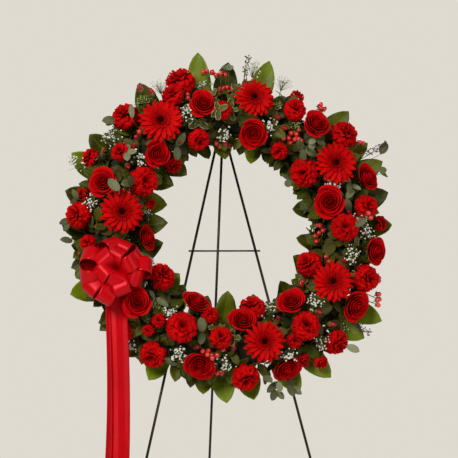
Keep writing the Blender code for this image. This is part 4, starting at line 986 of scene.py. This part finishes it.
for k in range(len(salal["outerCuts"])):
    rows = pick(salal["outer"], salal["outerCuts"], k)
    name = f"salal_outer_{k + 1}"
    buildPiece(name + "_leaves", [leafSet(rows, False), branchAlong(rows, False)], name)

# Room for the filler between the blooms
room = {"tries": 24, "spread": 1.5, "low": 0.066, "high": 0.118, "levels": 7, "rim": 0.344}


def clearance(points):
    # distance to the nearest bloom's or bow's ball, below 0 inside it
    apart = np.linalg.norm(points[:, None] - fullBalls[None], axis=2) - fullRadii[None]
    return apart.min(axis=1)


def findRoom(spots, radius):
    # for each wanted clock and reach, the lowest place near it that clears the blooms by radius
    clocks, reaches = np.array(spots, float).T
    n, reaches = len(clocks), reaches / 1000
    best, score = np.zeros((n, 3)), np.full(n, -1e9)
    for k in range(room["tries"]):
        grow = room["spread"] * (k / room["tries"])
        a = np.radians(clocks + chance.uniform(-1, 1, n) * grow * 2)
        r = reaches + chance.uniform(-1, 1, n) * grow * 0.008
        for top in np.linspace(room["low"], room["high"], room["levels"]):
            p = spot(a, np.clip(rollFor(r, top), 0.05, 3.0), top)
            free = clearance(p)
            value = np.where(free >= radius, 1.0 - grow * 0.4 - top * 2.0, free * 20 - 2)
            better = value > score
            best[better], score[better] = p[better], value[better]
    # what stands free beyond the blooms is placed as it is seen
    rim = reaches > room["rim"]
    best[rim] = seenAt(clocks[rim], reaches[rim] - 0.006, 0.040)
    return best


def footOf(points):
    # where a stem under the points meets the foam
    turn, roll, far = toRing(points)
    return spot(turn, roll, wreath["foamRadius"])


def outOf(points):
    turn, roll, far = toRing(points)
    return outward(turn, roll)


def sprigStem(tops, ends, sway, radius, sides=5, taper=1.0):
    # thin stems from the foam up to the sprigs, each bowed at random by up to sway
    bowed = chance.uniform(-sway, sway, tops.shape)
    return stalks(bent(footOf(tops), ends, bowed), radius, sides, stemGreen, taper)


def roomiest(base, ways, lift, length, avoid=()):
    # of nine directions round each stem, the one whose middle and tip lie farthest from the blooms
    # and from the leaves already there; near the rim those that point out are liked better
    first, second = across(ways)
    n = len(base)
    best, score = np.zeros((n, 3)), np.full(n, -1e9)
    beyond = np.maximum(np.hypot(base[:, 0], base[:, 1]) - 0.33, 0)
    radial = unit(base * [1.0, 1.0, 0.0])
    for k in range(9):
        a = chance.uniform(0, 2 * math.pi, n)
        arm = np.cos(a)[:, None] * first + np.sin(a)[:, None] * second
        tip = base + unit(arm + lift) * length[:, None]
        free = np.minimum(clearance(tip), clearance((base + tip) / 2)) + (arm * radial).sum(-1) * beyond
        for other in avoid:
            free = free - 0.012 * np.maximum((arm * other).sum(-1), 0)
        take = free > score
        best[take], score[take] = arm[take], free[take]
    return best


def pushedOut(points, grow=1.15, margin=0.0015):
    # points inside a bloom move straight out to just above it
    for k in range(2):
        apart = points[:, None] - fullBalls[None]
        far = np.linalg.norm(apart, axis=2)
        deep = fullRadii[None] * grow + margin - far
        worst = deep.argmax(axis=1)
        rows = np.arange(len(points))
        shove = np.maximum(deep[rows, worst], 0)[:, None]
        points = points + unit(apart[rows, worst]) * shove
    return points


# Clock angle and reach in millimetres of each sprig between the blooms
filler = {
    "oval": [
        (131, 325), (137, 361), (170, 359), (179, 373), (186, 369), (161, 289), (157, 239), (171, 166),
        (123, 223), (145, 280), (150, 324), (90, 371), (65, 328), (45, 278), (45, 248), (40, 259),
        (42, 225), (20, 295), (14, 267), (19, 379), (25, 396), (11, 329), (5, 334), (18, 186), (38, 175),
        (357, 164), (359, 273), (312, 382), (281, 353), (285, 374), (283, 390), (288, 390), (223, 232),
        (226, 186), (243, 322), (234, 338), (253, 245),
    ],
    "varied": [
        (85, 317), (5, 181), (351, 288), (227, 248), (261, 220), (269, 243), (328, 203), (125, 347),
        (97, 305), (96, 260), (106, 248), (89, 268),
    ],
    "seeds": [(56, 277), (68, 299), (339, 291), (3, 295), (126, 345)],
    "sprigs": [(83, 380), (28, 392), (289, 373), (155, 281), (322, 379), (322, 168)],
    "buds": [
        (123, 370), (120, 350), (140, 280), (149, 265), (66, 335), (66, 275), (61, 260), (46, 334),
        (7, 270), (343, 263), (315, 270), (297, 230), (316, 312), (270, 268), (253, 278), (119, 225),
        (93, 314),
    ],
    "berries": [
        (98, 357), (93, 348), (90, 338), (88, 344), (89, 327), (114, 342), (106, 317), (133, 292),
        (130, 283), (146, 335), (163, 259), (161, 238), (166, 248), (188, 340), (190, 320), (258, 281),
        (260, 295), (265, 272), (264, 319), (270, 180), (316, 191), (322, 208), (343, 227), (345, 193),
        (342, 201), (340, 350), (339, 352), (333, 368), (331, 372), (94, 199), (89, 196), (87, 198),
        (53, 349), (51, 347), (56, 246), (53, 251), (54, 262), (50, 256), (32, 358), (7, 317),
        (5, 307), (2, 211), (356, 203),
    ],
    "airy": [
        (98, 334), (117, 351), (110, 274), (138, 329), (142, 326), (143, 253), (170, 307), (167, 193),
        (203, 186), (234, 239), (266, 298), (247, 299), (295, 208), (317, 251), (308, 320), (347, 278),
        (318, 343), (293, 308), (69, 247), (92, 219), (69, 348), (49, 340), (22, 247), (3, 296),
        (81, 361), (229, 343), (158, 371), (358, 306),
    ],
}


def ovalSprigs(spots):
    # eucalyptus: oval leaves up a thin stem
    tops = findRoom(spots, 0.003)
    way = outOf(tops)
    n = len(tops)
    rim = np.array(spots, float)[:, 1] > 1000 * room["rim"]
    leaning = unit(way + chance.uniform(-0.8, 0.8, (n, 3)))
    leaning[rim] = unit(tops[rim] * [1.0, 1.0, 0.0] + chance.uniform(-0.12, 0.12, (rim.sum(), 3)))
    ends = tops + leaning * np.where(rim, -0.012, 0.010)[:, None]
    parts = [sprigStem(tops, ends, 0.004, 0.0009, taper=0.6)]
    chosen = []
    for j in range(3):
        base = tops + leaning * (0.006 - 0.010 * (j == 2))
        base[rim] -= leaning[rim] * 0.018
        size = chance.uniform(0.026, 0.038, n) * (0.85 if j == 2 else 1.0)
        lift = way * chance.uniform(0.0, 0.7, (n, 1))
        arm = roomiest(base, leaning, lift, size, chosen)
        lift[rim] = leaning[rim] * 0.8
        chosen.append(arm)
        wide = size * chance.uniform(0.44, 0.60, n)
        along = arm + lift
        crossing = np.cross(way, arm)
        crossing[rim] = np.cross([0.0, 0.3, 1.0], along[rim])
        # a sprig that stands high over the blooms has one leaf, and a free one at the rim has two
        kept = np.ones(n, bool) if j == 0 else ((toRing(tops)[2] < 0.092) | rim) & ~(rim & (j == 2))
        if kept.any():
            parts.append(leaves(base[kept], along[kept], crossing[kept], size[kept], wide[kept], ovalGreen,
                                bend=-0.12, cup=0.10, rows=9, columns=7, shape=0.62, point=0.62))
    return parts


def variedSprigs(spots):
    # pittosporum: four waved leaves with pale rims round the top of a stem
    tops = findRoom(spots, 0.002)
    way = outOf(tops)
    n = len(tops)
    parts = [sprigStem(tops, tops, 0.003, 0.0010)]
    chosen = []
    for j in range(4):
        size = chance.uniform(0.022, 0.034, n)
        lift = way * chance.uniform(0.2, 0.9, (n, 1))
        base = tops - way * (0.004 + 0.003 * j)
        arm = roomiest(base, way, lift, size, chosen)
        chosen.append(arm)
        parts.append(leaves(base, arm + lift, np.cross(way, arm), size, size * 0.5, variedGreen, bend=-0.1,
                            cup=0.12, wave=0.24, waves=6, rows=9, columns=7, shape=0.55, point=0.55))
    return parts


gypsophila = {"florets": 34, "spread": 0.025, "sizes": (0.0017, 0.0028)}
airyShape = [(0, -0.7), (0.45, -0.45), (1.0, 0.10), (0.62, 0.55), (0, 0.62)]


def airySprigs(spots):
    # a forked stem with many tiny ruffled white florets in a loose dome
    tops = findRoom(spots, 0.0)
    way = outOf(tops)
    n, florets = len(tops), gypsophila["florets"]
    parts = [sprigStem(tops, tops - way * 0.012, 0.003, 0.0008, 4)]
    ways = unit(chance.normal(0, 1, (n, florets, 3)) + way[:, None] * 1.0)
    far = gypsophila["spread"] * chance.uniform(0.35, 1.0, (n, florets, 1))
    ends = (tops - way * 0.004)[:, None] + ways * far + way[:, None] * 0.006
    ends = pushedOut(ends.reshape(-1, 3))
    starts = np.repeat(tops - way * 0.013, florets, axis=0)
    bowed = chance.uniform(-0.0015, 0.0015, ends.shape)
    parts.append(stalks(bent(starts, ends, bowed, 4), 0.0003, 3, airyStem))
    size = chance.uniform(*gypsophila["sizes"], len(ends))
    parts.append(revolved(ends, unit(ends - starts), size, airyShape, 7, airyWhite, flute=0.22, flutes=3))
    return parts


hypericum = {"apart": 0.0120, "sizes": (0.0054, 0.0063), "third": 0.4}
berryShape = [(0, -1.0), (0.55, -0.85), (0.95, -0.25), (0.98, 0.25), (0.72, 0.78), (0.30, 1.05), (0, 1.2)]
underShape = [(0, -1.25), (0.30, -1.15), (0.95, -0.95), (0.60, -0.70), (0, -0.62)]


def berrySprigs(spots):
    # shining berries in twos and threes, with small green sepals
    tops = findRoom(spots, 0.0045)
    way = outOf(tops)
    n = len(tops)
    parts = [sprigStem(tops, tops - way * 0.010, 0.002, 0.0010)]
    first, second = across(way)
    start = chance.uniform(0, 2 * math.pi, n)
    for j in range(3):
        a = start + j * 2.1
        arm = np.cos(a)[:, None] * first + np.sin(a)[:, None] * second
        ends = tops + arm * (0.0 if j == 0 else hypericum["apart"]) + way * (0.003 if j == 0 else -0.001)
        kept = clearance(ends) > 0.002 if j else np.ones(n, bool)
        if j == 2:
            kept &= chance.uniform(0, 1, n) < hypericum["third"]
        tilt = unit(way + arm * 0.35)[kept]
        size = chance.uniform(*hypericum["sizes"], kept.sum())
        fork = bent((tops - way * 0.011)[kept], ends[kept] - tilt * 0.004, arm[kept] * 0.001, 3)
        parts.append(stalks(fork, 0.0007, 4, stemGreen))
        parts.append(revolved(ends[kept], tilt, size, berryShape, 12, berryCoral))
        parts.append(revolved(ends[kept], tilt, size, underShape, 10, stemGreen, flute=0.35, flutes=5))
    return parts


bud = {"size": 0.0100}
budShape = [(0, -1.2), (0.35, -1.0), (0.62, -0.4), (0.60, 0.3), (0.42, 0.95), (0.16, 1.35), (0, 1.42)]
budCup = [(0, -1.4), (0.30, -1.25), (0.62, -0.7), (0.68, 0.0), (0.40, 0.1), (0, 0.1)]


def budSprigs(spots):
    # small closed red buds in green cups
    tops = findRoom(spots, 0.005)
    way = unit(outOf(tops) + chance.uniform(-0.4, 0.4, tops.shape))
    return [
        sprigStem(tops, tops - way * 0.008, 0.002, 0.0010),
        revolved(tops, way, bud["size"], budShape, 12, budRed, flute=0.08, flutes=5),
        revolved(tops, way, bud["size"], budCup, 10, stemGreen, flute=0.06, flutes=5),
    ]


seedHead = {"seeds": 34, "radius": 0.014, "seed": 0.0018}
seedShape = [(0, -1), (0.9, -0.3), (0.8, 0.5), (0, 1)]


def seedSprigs(spots):
    # a round head of green seeds on fine stalks
    tops = findRoom(spots, 0.0)
    way = outOf(tops)
    n, many = len(tops), seedHead["seeds"]
    ways = unit(chance.normal(0, 1, (n, many, 3)) + way[:, None] * 1.2)
    ends = tops[:, None] + ways * seedHead["radius"] * chance.uniform(0.5, 1, (n, many, 1))
    ends = ends.reshape(-1, 3)
    starts = np.repeat(tops - way * 0.008, many, axis=0)
    stem = sprigStem(tops, tops - way * 0.008, 0.002, 0.0010)
    bowed = chance.uniform(-0.001, 0.001, ends.shape)
    return [
        stem,
        stalks(bent(starts, ends, bowed, 3), 0.0004, 3, stemGreen),
        revolved(ends, unit(ends - starts), seedHead["seed"], seedShape, 6, seedGreen),
    ]


twig = {"twigs": 3, "rings": 9, "firstBead": 5, "beads": 3, "bead": 0.0019, "beadStalk": 0.006}
beadShape = [(0, -1), (0.8, -0.3), (0.8, 0.4), (0, 1.3)]


def twigSprigs(spots):
    # bare purple twigs with small beads along them, that stand out past the leaves
    tops = findRoom(spots, 0.0)
    radial = unit(tops * [1.0, 1.0, 0.0])
    parts = []
    for j in range(twig["twigs"]):
        ends = tops + unit(radial + chance.uniform(-0.55, 0.55, tops.shape)) * 0.012
        path = bent(footOf(tops), ends, chance.uniform(-0.006, 0.006, tops.shape), twig["rings"])
        parts.append(stalks(path, 0.0009, 4, twigBrown, 0.5))
        for k in range(twig["firstBead"], twig["rings"]):
            for bead in range(twig["beads"]):
                side = unit(chance.normal(0, 1, tops.shape) + radial * 0.6)
                tip = path[:, k] + side * twig["beadStalk"]
                parts.append(stalks(bent(path[:, k], tip, np.zeros_like(side), 2), 0.0004, 3, twigBrown))
                parts.append(revolved(tip, side, twig["bead"], beadShape, 6, twigBrown))
    return parts


quarterCuts = [45, 135, 225, 315]
for k in range(len(quarterCuts)):
    name = f"gypsophila_{k + 1}"
    buildPiece(name + "_sprays", airySprigs(pick(filler["airy"], quarterCuts, k)), name)
    name = f"hypericum_{k + 1}"
    buildPiece(name + "_berries", berrySprigs(pick(filler["berries"], quarterCuts, k)), name)
for k in range(len(salal["innerCuts"])):
    rows, ovals, varied = (
        pick(table, salal["innerCuts"], k) for table in (salal["inner"], filler["oval"], filler["varied"])
    )
    parts = [leafSet(rows, True), branchAlong(rows, True)]
    parts += ovalSprigs(ovals) if ovals else []
    parts += variedSprigs(varied) if varied else []
    name = f"greens_{k + 1}"
    buildPiece(name + "_leaves", parts, name)
buildPiece("small_buds", budSprigs(filler["buds"]))
buildPiece("seed_heads", seedSprigs(filler["seeds"]))
buildPiece("purple_twigs", twigSprigs(filler["sprigs"]))
print("filler built")

# The leafy bed: many small leaves lying over the foam so that none of it shows
bed = {
    "count": 1300,
    "edge": 130,
    "rollLow": -62,
    "rollHigh": 244,
    "low": 0.041,
    "high": 0.056,
    "edgeDepth": 0.044,
}


def clearOfLeg(a, roll):
    # no leaf starts at the back of the ring's bottom, where the rear leg swings through
    return ~((np.abs(np.cos(a)) < 0.20) & (np.sin(a) < 0) & (np.sin(roll) < 0.25))


def bedLeaves(low, high):
    # leaves at random spots and slants; every third one lies flat on the foam
    n = bed["count"] // 4
    a = np.radians(chance.uniform(low, high, n))
    roll = np.radians(chance.uniform(bed["rollLow"], bed["rollHigh"], n))
    free = clearOfLeg(a, roll)
    a, roll, n = a[free], roll[free], int(free.sum())
    depth = chance.uniform(bed["low"], bed["high"], n)
    depth[::3] = bed["low"]
    base = spot(a, roll, depth)
    way = outward(a, roll)
    first, second = across(way)
    spin = chance.uniform(0, 2 * math.pi, n)
    arm = np.cos(spin)[:, None] * first + np.sin(spin)[:, None] * second
    steep = chance.uniform(0.0, 0.9, (n, 1))
    steep[::3] = 0.05
    length = chance.uniform(0.026, 0.044, n)
    width = length * chance.uniform(0.4, 0.62, n)
    return leaves(base, arm + way * steep, np.cross(way, arm), length, width, bedGreen,
                  bend=-0.12, cup=0.10, wave=0.08, rows=6, columns=5, shape=0.6, point=0.65)


def edgeLeaves(low, high, inner):
    # broader leaves behind the blooms that point out over the rim, or in over the hole
    n = bed["edge"] // 4
    a = np.radians(chance.uniform(low, high, n))
    roll = np.radians(chance.uniform(150, 215, n) if inner else chance.uniform(-35, 30, n))
    free = clearOfLeg(a, roll)
    a, roll, n = a[free], roll[free], int(free.sum())
    base = spot(a, roll, bed["edgeDepth"])
    sign = -1.0 if inner else 1.0
    fan = a + chance.uniform(-0.6, 0.6, n)
    along = np.stack([np.cos(fan) * sign, np.sin(fan) * sign, chance.uniform(-0.1, 0.5, n)], axis=-1)
    side = np.stack([-np.sin(a) * sign, np.cos(a) * sign, chance.uniform(-0.4, 0.4, n)], axis=-1)
    length = chance.uniform(0.034, 0.046, n) if inner else chance.uniform(0.040, 0.058, n)
    width = length * chance.uniform(0.46, 0.6, n)
    tone = chance.uniform(0, 0.5, n)
    return leaves(base, along, side, length, width, salalGreen, bend=-0.10, cup=0.12, wave=0.08,
                  rows=8, columns=7, shape=0.62, point=0.70, tone=tone)


for k in range(4):
    low, high = k * 90, k * 90 + 90
    parts = [bedLeaves(low, high), edgeLeaves(low, high, False), edgeLeaves(low, high, True)]
    buildPiece(f"leafy_bed_{k + 1}", parts)
print("leafy bed built")


# Foam ring and its backing
def ringSkin(profile, material, around=160):
    # a closed profile of (reach from the tube's middle, w) pairs carried round the ring
    profile = np.array(profile, float)
    a = np.arange(around) * 2 * math.pi / around
    reach = ringRadius + profile[:, 0]
    high = np.broadcast_to(profile[:, 1], (around, len(profile)))
    points = np.stack([reach * np.cos(a)[:, None], reach * np.sin(a)[:, None], high], axis=-1)
    i = np.arange(around * len(profile)).reshape(around, len(profile))
    j = np.roll(i, -1, axis=0)
    faces = np.stack([i, j, np.roll(j, -1, axis=1), np.roll(i, -1, axis=1)], axis=-1).reshape(-1, 4)
    return batch(points, faces, material)


foamRadius, gap = wreath["foamRadius"], wreath["gap"]
backFront = -(foamRadius * math.cos(math.pi / 8) + gap)
backRear = -(foamRadius + gap + wreath["backThick"])
foamTurns = np.arange(28) * 2 * math.pi / 28
skin = foamRadius * 0.985
foamProfile = [(skin * math.cos(a), max(skin * math.sin(a), backFront + gap)) for a in foamTurns]
buildPiece("foam_ring_skin", [ringSkin(foamProfile, foamShadowMaterial)], "foam_ring")
r = wreath["backRadius"]
backProfile = [
    (-r, backRear + 0.001), (-r + 0.001, backRear),
    (-r + 0.003, backRear), (-r + 0.0036, backRear + 0.0012),
    (r - 0.0036, backRear + 0.0012), (r - 0.003, backRear), (r - 0.001, backRear), (r, backRear + 0.001),
    (r, backFront - 0.0005), (r - 0.0005, backFront), (-r + 0.0005, backFront), (-r, backFront - 0.0005),
]
tray = ringSkin(backProfile, backMaterial)
buildPiece("backing_ring_tray", [tray], "backing_ring", smooth=False)
print("foam ring built")

# The easel, in the row's own axes where it stands on the floor
easel = {
    "apexRise": 0.266,
    "spread": 0.24,  # how far a front leg runs out for each metre down
    "leg": 0.003,
    "bar": 0.002,
    "legTop": 0.250,
    "pinRise": 0.205,
    "barRise": -0.038,
    "barPast": 0.010,
    "eye": 0.005,
    "rearDeg": 17.0,
}
behind = -(foamRadius + gap + wreath["backThick"] + gap)
plane = behind - easel["leg"]


def rounded(path, count=24):
    # a smooth line through a few points, by a Catmull-Rom curve
    p = np.asarray(path, float)
    p = np.concatenate([[2 * p[0] - p[1]], p, [2 * p[-1] - p[-2]]])
    rows = []
    for k in range(1, len(p) - 2):
        t = np.linspace(0, 1, count, endpoint=False)[:, None]
        a, b, c, d = p[k - 1:k + 3]
        square, cubic = 2 * a - 5 * b + 4 * c - d, 3 * b - a - 3 * c + d
        rows.append(0.5 * (2 * b + (c - a) * t + square * t ** 2 + cubic * t ** 3))
    return np.concatenate([*rows, p[-2:-1]])


def floorRod(top, foot, radius, sides=20):
    # a leg of three rings, whose last one is slid along the leg to lie level on the floor
    part = stalks([top, (top + foot) / 2, foot], radius, sides, wireMaterial)
    way = unit(foot - top)
    last = part["points"][2 * sides:3 * sides]
    part["points"][2 * sides:3 * sides] = last - way * (last[:, 2:] / way[2])
    part["points"][-1] = foot - way * (foot[2] / way[2])
    return part


def legPoint(side, high):
    # the front legs close in evenly up to their apex
    return np.array([side * easel["spread"] * (easel["apexRise"] - high), high, plane])


def levelRod(half, high, out):
    path = [[-half, high, out], [0, high, out], [half, high, out]]
    return stalks(path, easel["bar"], 16, wireMaterial)


for side, word in ((-1, "left"), (1, "right")):
    top = toRow(legPoint(side, easel["legTop"]))
    way = unit(toRow(legPoint(side, 0.0)) - top)
    foot = top - way * (top[2] / way[2])
    rod = floorRod(top, foot, easel["leg"])
    buildPiece(f"leg_{word}_wire", [rod], f"easel_leg_{word}", ringAxes=False)
barWide = easel["spread"] * (easel["apexRise"] - easel["barRise"]) + easel["barPast"]
bar = levelRod(barWide, easel["barRise"], plane + easel["leg"] + gap + easel["bar"])
buildPiece("crossbar_wire", [bar], "easel_crossbar")
slant = math.sqrt(1 + easel["spread"] ** 2)
pinHalf = easel["spread"] * (easel["apexRise"] - easel["pinRise"]) - easel["leg"] * slant - gap
buildPiece("pin_wire", [levelRod(pinHalf, easel["pinRise"], plane)], "easel_pin")
top = easel["legTop"]
hookPath = [
    (0, top - 0.0001, plane), (0, top + 0.010, plane), (0, top + 0.0135, plane - 0.004),
    (0, top + 0.020, plane - 0.022),
]
hook = stalks(rounded(hookPath, 8), easel["bar"], 16, wireMaterial)
buildPiece("hook_wire", [hook], "easel_hook")
pinRow = toRow([0, easel["pinRise"], plane])
rear = math.radians(easel["rearDeg"])
rearWay = np.array([0.0, math.sin(rear), -math.cos(rear)])
foot = pinRow - rearWay * (pinRow[2] / rearWay[2])
turns = np.arange(32) * 2 * math.pi / 32
eyeLine = pinRow + easel["eye"] * np.stack([np.zeros_like(turns), np.cos(turns), np.sin(turns)], axis=-1)


def closedTube(line, radius, sides, material):
    # a tube along a closed flat loop, its last ring joined to its first
    n = len(line)
    way = unit(np.roll(line, -1, axis=0) - np.roll(line, 1, axis=0))
    side = np.broadcast_to(unit(np.cross(way[0], way[n // 4])), way.shape)
    other = np.cross(side, way)
    a = np.arange(sides) * 2 * math.pi / sides
    arm = np.cos(a)[None, :, None] * other[:, None] + np.sin(a)[None, :, None] * side[:, None]
    ring = line[:, None] + radius * arm
    i = np.arange(n * sides).reshape(n, sides)
    j = np.roll(i, -1, axis=0)
    faces = np.stack([i, np.roll(i, -1, axis=1), np.roll(j, -1, axis=1), j], axis=-1).reshape(-1, 4)
    return batch(ring, faces, material)


rod = floorRod(pinRow + rearWay * easel["eye"], foot, easel["leg"])
parts = [rod, closedTube(eyeLine, easel["bar"], 12, wireMaterial)]
buildPiece("rear_leg_wire", parts, "easel_rear_leg", body="rear_leg", ringAxes=False)
loopPath = [
    (-0.0125, 0.2500, behind - 0.0012), (-0.0120, 0.2590, behind - 0.0014),
    (-0.0090, 0.2667, plane - 0.0090), (0.0, 0.26955, plane - 0.0110), (0.0090, 0.2667, plane - 0.0090),
    (0.0120, 0.2590, behind - 0.0014), (0.0125, 0.2500, behind - 0.0012),
]
hanger = stalks(rounded(loopPath, 6), 0.0010, 10, bareWire)
buildPiece("hanging_loop", [hanger], "hanging_wire")
print("easel built")


# The satin bow and its streamers
def band(paths, widths, normals, columns=9, crown=0.0, pleat=0.0, slant=0.0, fold=0.0):
    # a ribbon along each path, its width square to the path and to the given normal, hollowed by crown,
    # waved along its length by pleat, its left edge turned back by fold and its end cut aslant
    n, k = paths.shape[:2]
    ahead = unit(np.gradient(paths, axis=1))
    wide = unit(np.cross(normals, ahead))
    square = np.cross(ahead, wide)
    v = np.linspace(-1, 1, columns)[None, None, :]
    half = np.broadcast_to(widths, (n, k))[..., None] / 2
    lift = crown * half * (1 - v * v) + pleat * half * np.sin(v * 4.5 + 0.6)
    lift = lift - fold * half * np.maximum(-0.42 - v, 0)
    grid = paths[:, :, None] + wide[:, :, None] * (v * half)[..., None]
    grid = grid + square[:, :, None] * lift[..., None]
    share = np.linspace(0, 1, k)[None, :, None, None] ** 10
    grid = grid + ahead[:, :, None] * (slant * v * half)[..., None] * share
    return shell(grid, loops["thick"], satin)


loops = {
    "rows": [
        (158, 0.20, 76, 36, 30), (192, 0.30, 76, 38, -35), (220, 0.25, 80, 28, 20), (247, 0.35, 80, 26, -15),
        (106, 0.30, 64, 32, 35), (70, 0.28, 60, 28, -20), (34, 0.20, 60, 30, 25), (2, 0.30, 74, 28, -25),
        (334, 0.5, 60, 28, 20), (284, 0.6, 62, 26, 10), (140, 0.9, 56, 30, -20), (205, 1.0, 54, 30, 25),
        (20, 1.0, 54, 30, 15), (85, 1.0, 50, 28, -30), (262, 1.1, 50, 28, -20),
    ],
    "samples": 30,
    "thick": 0.00045,
    "shift": (-0.001, -0.014, 0.004),
    "knot": 0.0105,
}
knotPlace = bowMiddle + np.array(loops["shift"])


def bowLoops(rows):
    # clock, tilt to the front, reach and height in millimetres and twist in degrees; a teardrop goes
    # out by reach sin(pi t) and up and over by half its height times sin(2 pi t), narrow at the knot
    clock, tilt, reach, high, twist = np.array(rows, float).T
    a = np.radians(clock)
    arm = np.stack([np.cos(a), np.sin(a), np.zeros_like(a)], axis=-1)
    arm = unit(arm - (arm @ bowAxis)[:, None] * bowAxis)
    arm = unit(arm + bowAxis * tilt[:, None])
    up = unit(bowAxis - (arm @ bowAxis)[:, None] * arm)
    w = np.radians(twist)[:, None]
    up = up * np.cos(w) + np.cross(arm, up) * np.sin(w)
    wide = np.cross(arm, up)
    t = np.linspace(0, 1, loops["samples"])[None, :, None]
    out = 0.005 + reach[:, None, None] / 1000 * np.sin(math.pi * t) ** 0.85
    rise = -high[:, None, None] / 2000 * np.sin(2 * math.pi * t) * 1.1 - 0.004 * np.cos(math.pi * t)
    path = knotPlace + arm[:, None] * out + up[:, None] * rise
    ahead = unit(np.gradient(path, axis=1))
    width = np.minimum(bow["ribbon"], 0.010 + 0.80 * np.linalg.norm(path - knotPlace, axis=2))
    normals = np.cross(ahead, np.broadcast_to(wide[:, None], ahead.shape))
    return band(path, width, normals, crown=0.02)


knotShape = [(0, -1.0), (0.6, -0.85), (1.0, -0.3), (1.05, 0.3), (0.7, 0.85), (0.3, 1.0), (0, 1.02)]
parts = [
    bowLoops(loops["rows"]),
    revolved(knotPlace, bowAxis, loops["knot"], knotShape, 20, satin, flute=0.06, flutes=4),
]
bowPiece = buildPiece("bow_loops", parts, "bow")

# the right streamer hangs in front with its left edge folded back, the left one behind it partly turned
streamer = {
    "yaw": {"left": -30, "right": -9},
    "nearer": 0.0033,
    "ahead": {"left": -0.001, "right": 0.0075},
    "fold": {"left": 0.0, "right": 0.52},
}
streamerLongs = []
for side, word in ((-1, "left"), (1, "right")):
    path = rounded(streamerPath(side), 6)[None]
    share = np.linspace(0, 1, path.shape[1])
    width = np.interp(share, [0, 0.09, 0.20, 1], [0.011, 0.028, bow["ribbon"], bow["ribbon"]])[None]
    yaw = np.radians(streamer["yaw"][word] + 3 * np.sin(share * 7 + side)) * np.clip(share * 6, 0, 1)
    shift = np.array([-streamer["nearer"] * side, 0.0, streamer["ahead"][word]])
    path = path + shift * np.clip(share * 12, 0, 1)[None, :, None]
    normals = np.stack([-np.sin(yaw), np.zeros_like(yaw), np.cos(yaw)], axis=-1)[None]
    fold = streamer["fold"][word]
    part = band(path, width, normals, columns=15, crown=0.03 * side, pleat=0.03, slant=0.5, fold=fold)
    piece = buildPiece(f"streamer_{word}_ribbon", [part], f"streamer_{word}")
    long = float(np.linalg.norm(np.diff(path[0], axis=0), axis=1).sum())
    streamerLongs.append(round(long, 3))


def meshArea(piece):
    areas = np.zeros(len(piece.data.polygons), np.float32)
    piece.data.polygons.foreach_get("area", areas)
    return float(areas.sum())


ribbonLong = meshArea(bowPiece) / 2 / bow["ribbon"]
print("bow built, ribbon", round(ribbonLong, 3), "streamers", streamerLongs)

# Camera, floor and light
studio = {
    "floorRadius": 2.2,
    "floorDrop": 0.0005,
    "backdrop": (0.84, 0.80, 0.72, 1),
    "lightLevel": 0.28,
    "seenLevel": 0.88,
    "lights": [
        ("key_light", (-1.5, -2.6, 2.5), (0, -0.1, 1.1), (1.1, 1.1), 70, (1.0, 0.98, 0.94)),
        ("fill_light", (2.2, -2.4, 1.4), (0, -0.1, 1.0), (1.4, 1.4), 22, (1.0, 0.98, 0.95)),
        ("back_light", (0.4, 2.4, 2.4), (0, -0.1, 1.1), (1.6, 1.2), 34, (1.0, 1.0, 1.0)),
    ],
}
floorMaterial = plainMaterial("floor_pale", (0.80, 0.79, 0.77), (0.82, 0.81, 0.79), 0.7, 3.0)
floorMesh = bpy.data.meshes.new("floor")
wide, drop = studio["floorRadius"], studio["floorDrop"]
corners = [(wide * math.cos(a), wide * math.sin(a), -drop) for a in np.arange(64) * 2 * math.pi / 64]
floorMesh.from_pydata(corners, [], [tuple(range(64))])
floorMesh.materials.append(floorMaterial)
floor = bpy.data.objects.new("floor", floorMesh)
bpy.context.scene.collection.objects.link(floor)

a = math.radians(view["azimuth"])
back = np.array([math.sin(a), -math.cos(a), 0.0])
right = np.array([math.cos(a), math.sin(a), 0.0])
target = toRow([0, 0, view["layer"]]) + right * view["aim"][0] + np.array([0, 0, view["aim"][1]])
eye = target + back * view["distance"]
camera = bpy.data.objects.new("camera", bpy.data.cameras.new("camera"))
camera.data.lens = view["lens"]
camera.data.sensor_width = 36
camera.location = eye
camera.rotation_mode = "QUATERNION"
camera.rotation_quaternion = Vector(-back).to_track_quat("-Z", "Y")
bpy.context.scene.collection.objects.link(camera)
bpy.context.scene.camera = camera


def softBox(name, place, aim, size, power, colour):
    light = bpy.data.lights.new(name, "AREA")
    light.shape = "RECTANGLE"
    light.size, light.size_y = size
    light.energy = power
    light.color = colour
    o = bpy.data.objects.new(name, light)
    o.location = place
    o.rotation_mode = "QUATERNION"
    o.rotation_quaternion = (Vector(aim) - Vector(place)).to_track_quat("-Z", "Y")
    bpy.context.scene.collection.objects.link(o)


for row in studio["lights"]:
    softBox(*row)
world = bpy.data.worlds.new("studio")
world.use_nodes = True
ground = world.node_tree.nodes["Background"]
ground.inputs["Color"].default_value = studio["backdrop"]
ray = world.node_tree.nodes.new("ShaderNodeLightPath")
level = world.node_tree.nodes.new("ShaderNodeMapRange")
level.inputs["To Min"].default_value = studio["lightLevel"]
level.inputs["To Max"].default_value = studio["seenLevel"]
world.node_tree.links.new(ray.outputs["Is Camera Ray"], level.inputs["Value"])
world.node_tree.links.new(level.outputs["Result"], ground.inputs["Strength"])
bpy.context.scene.world = world
bpy.context.scene.view_settings.view_transform = "Standard"
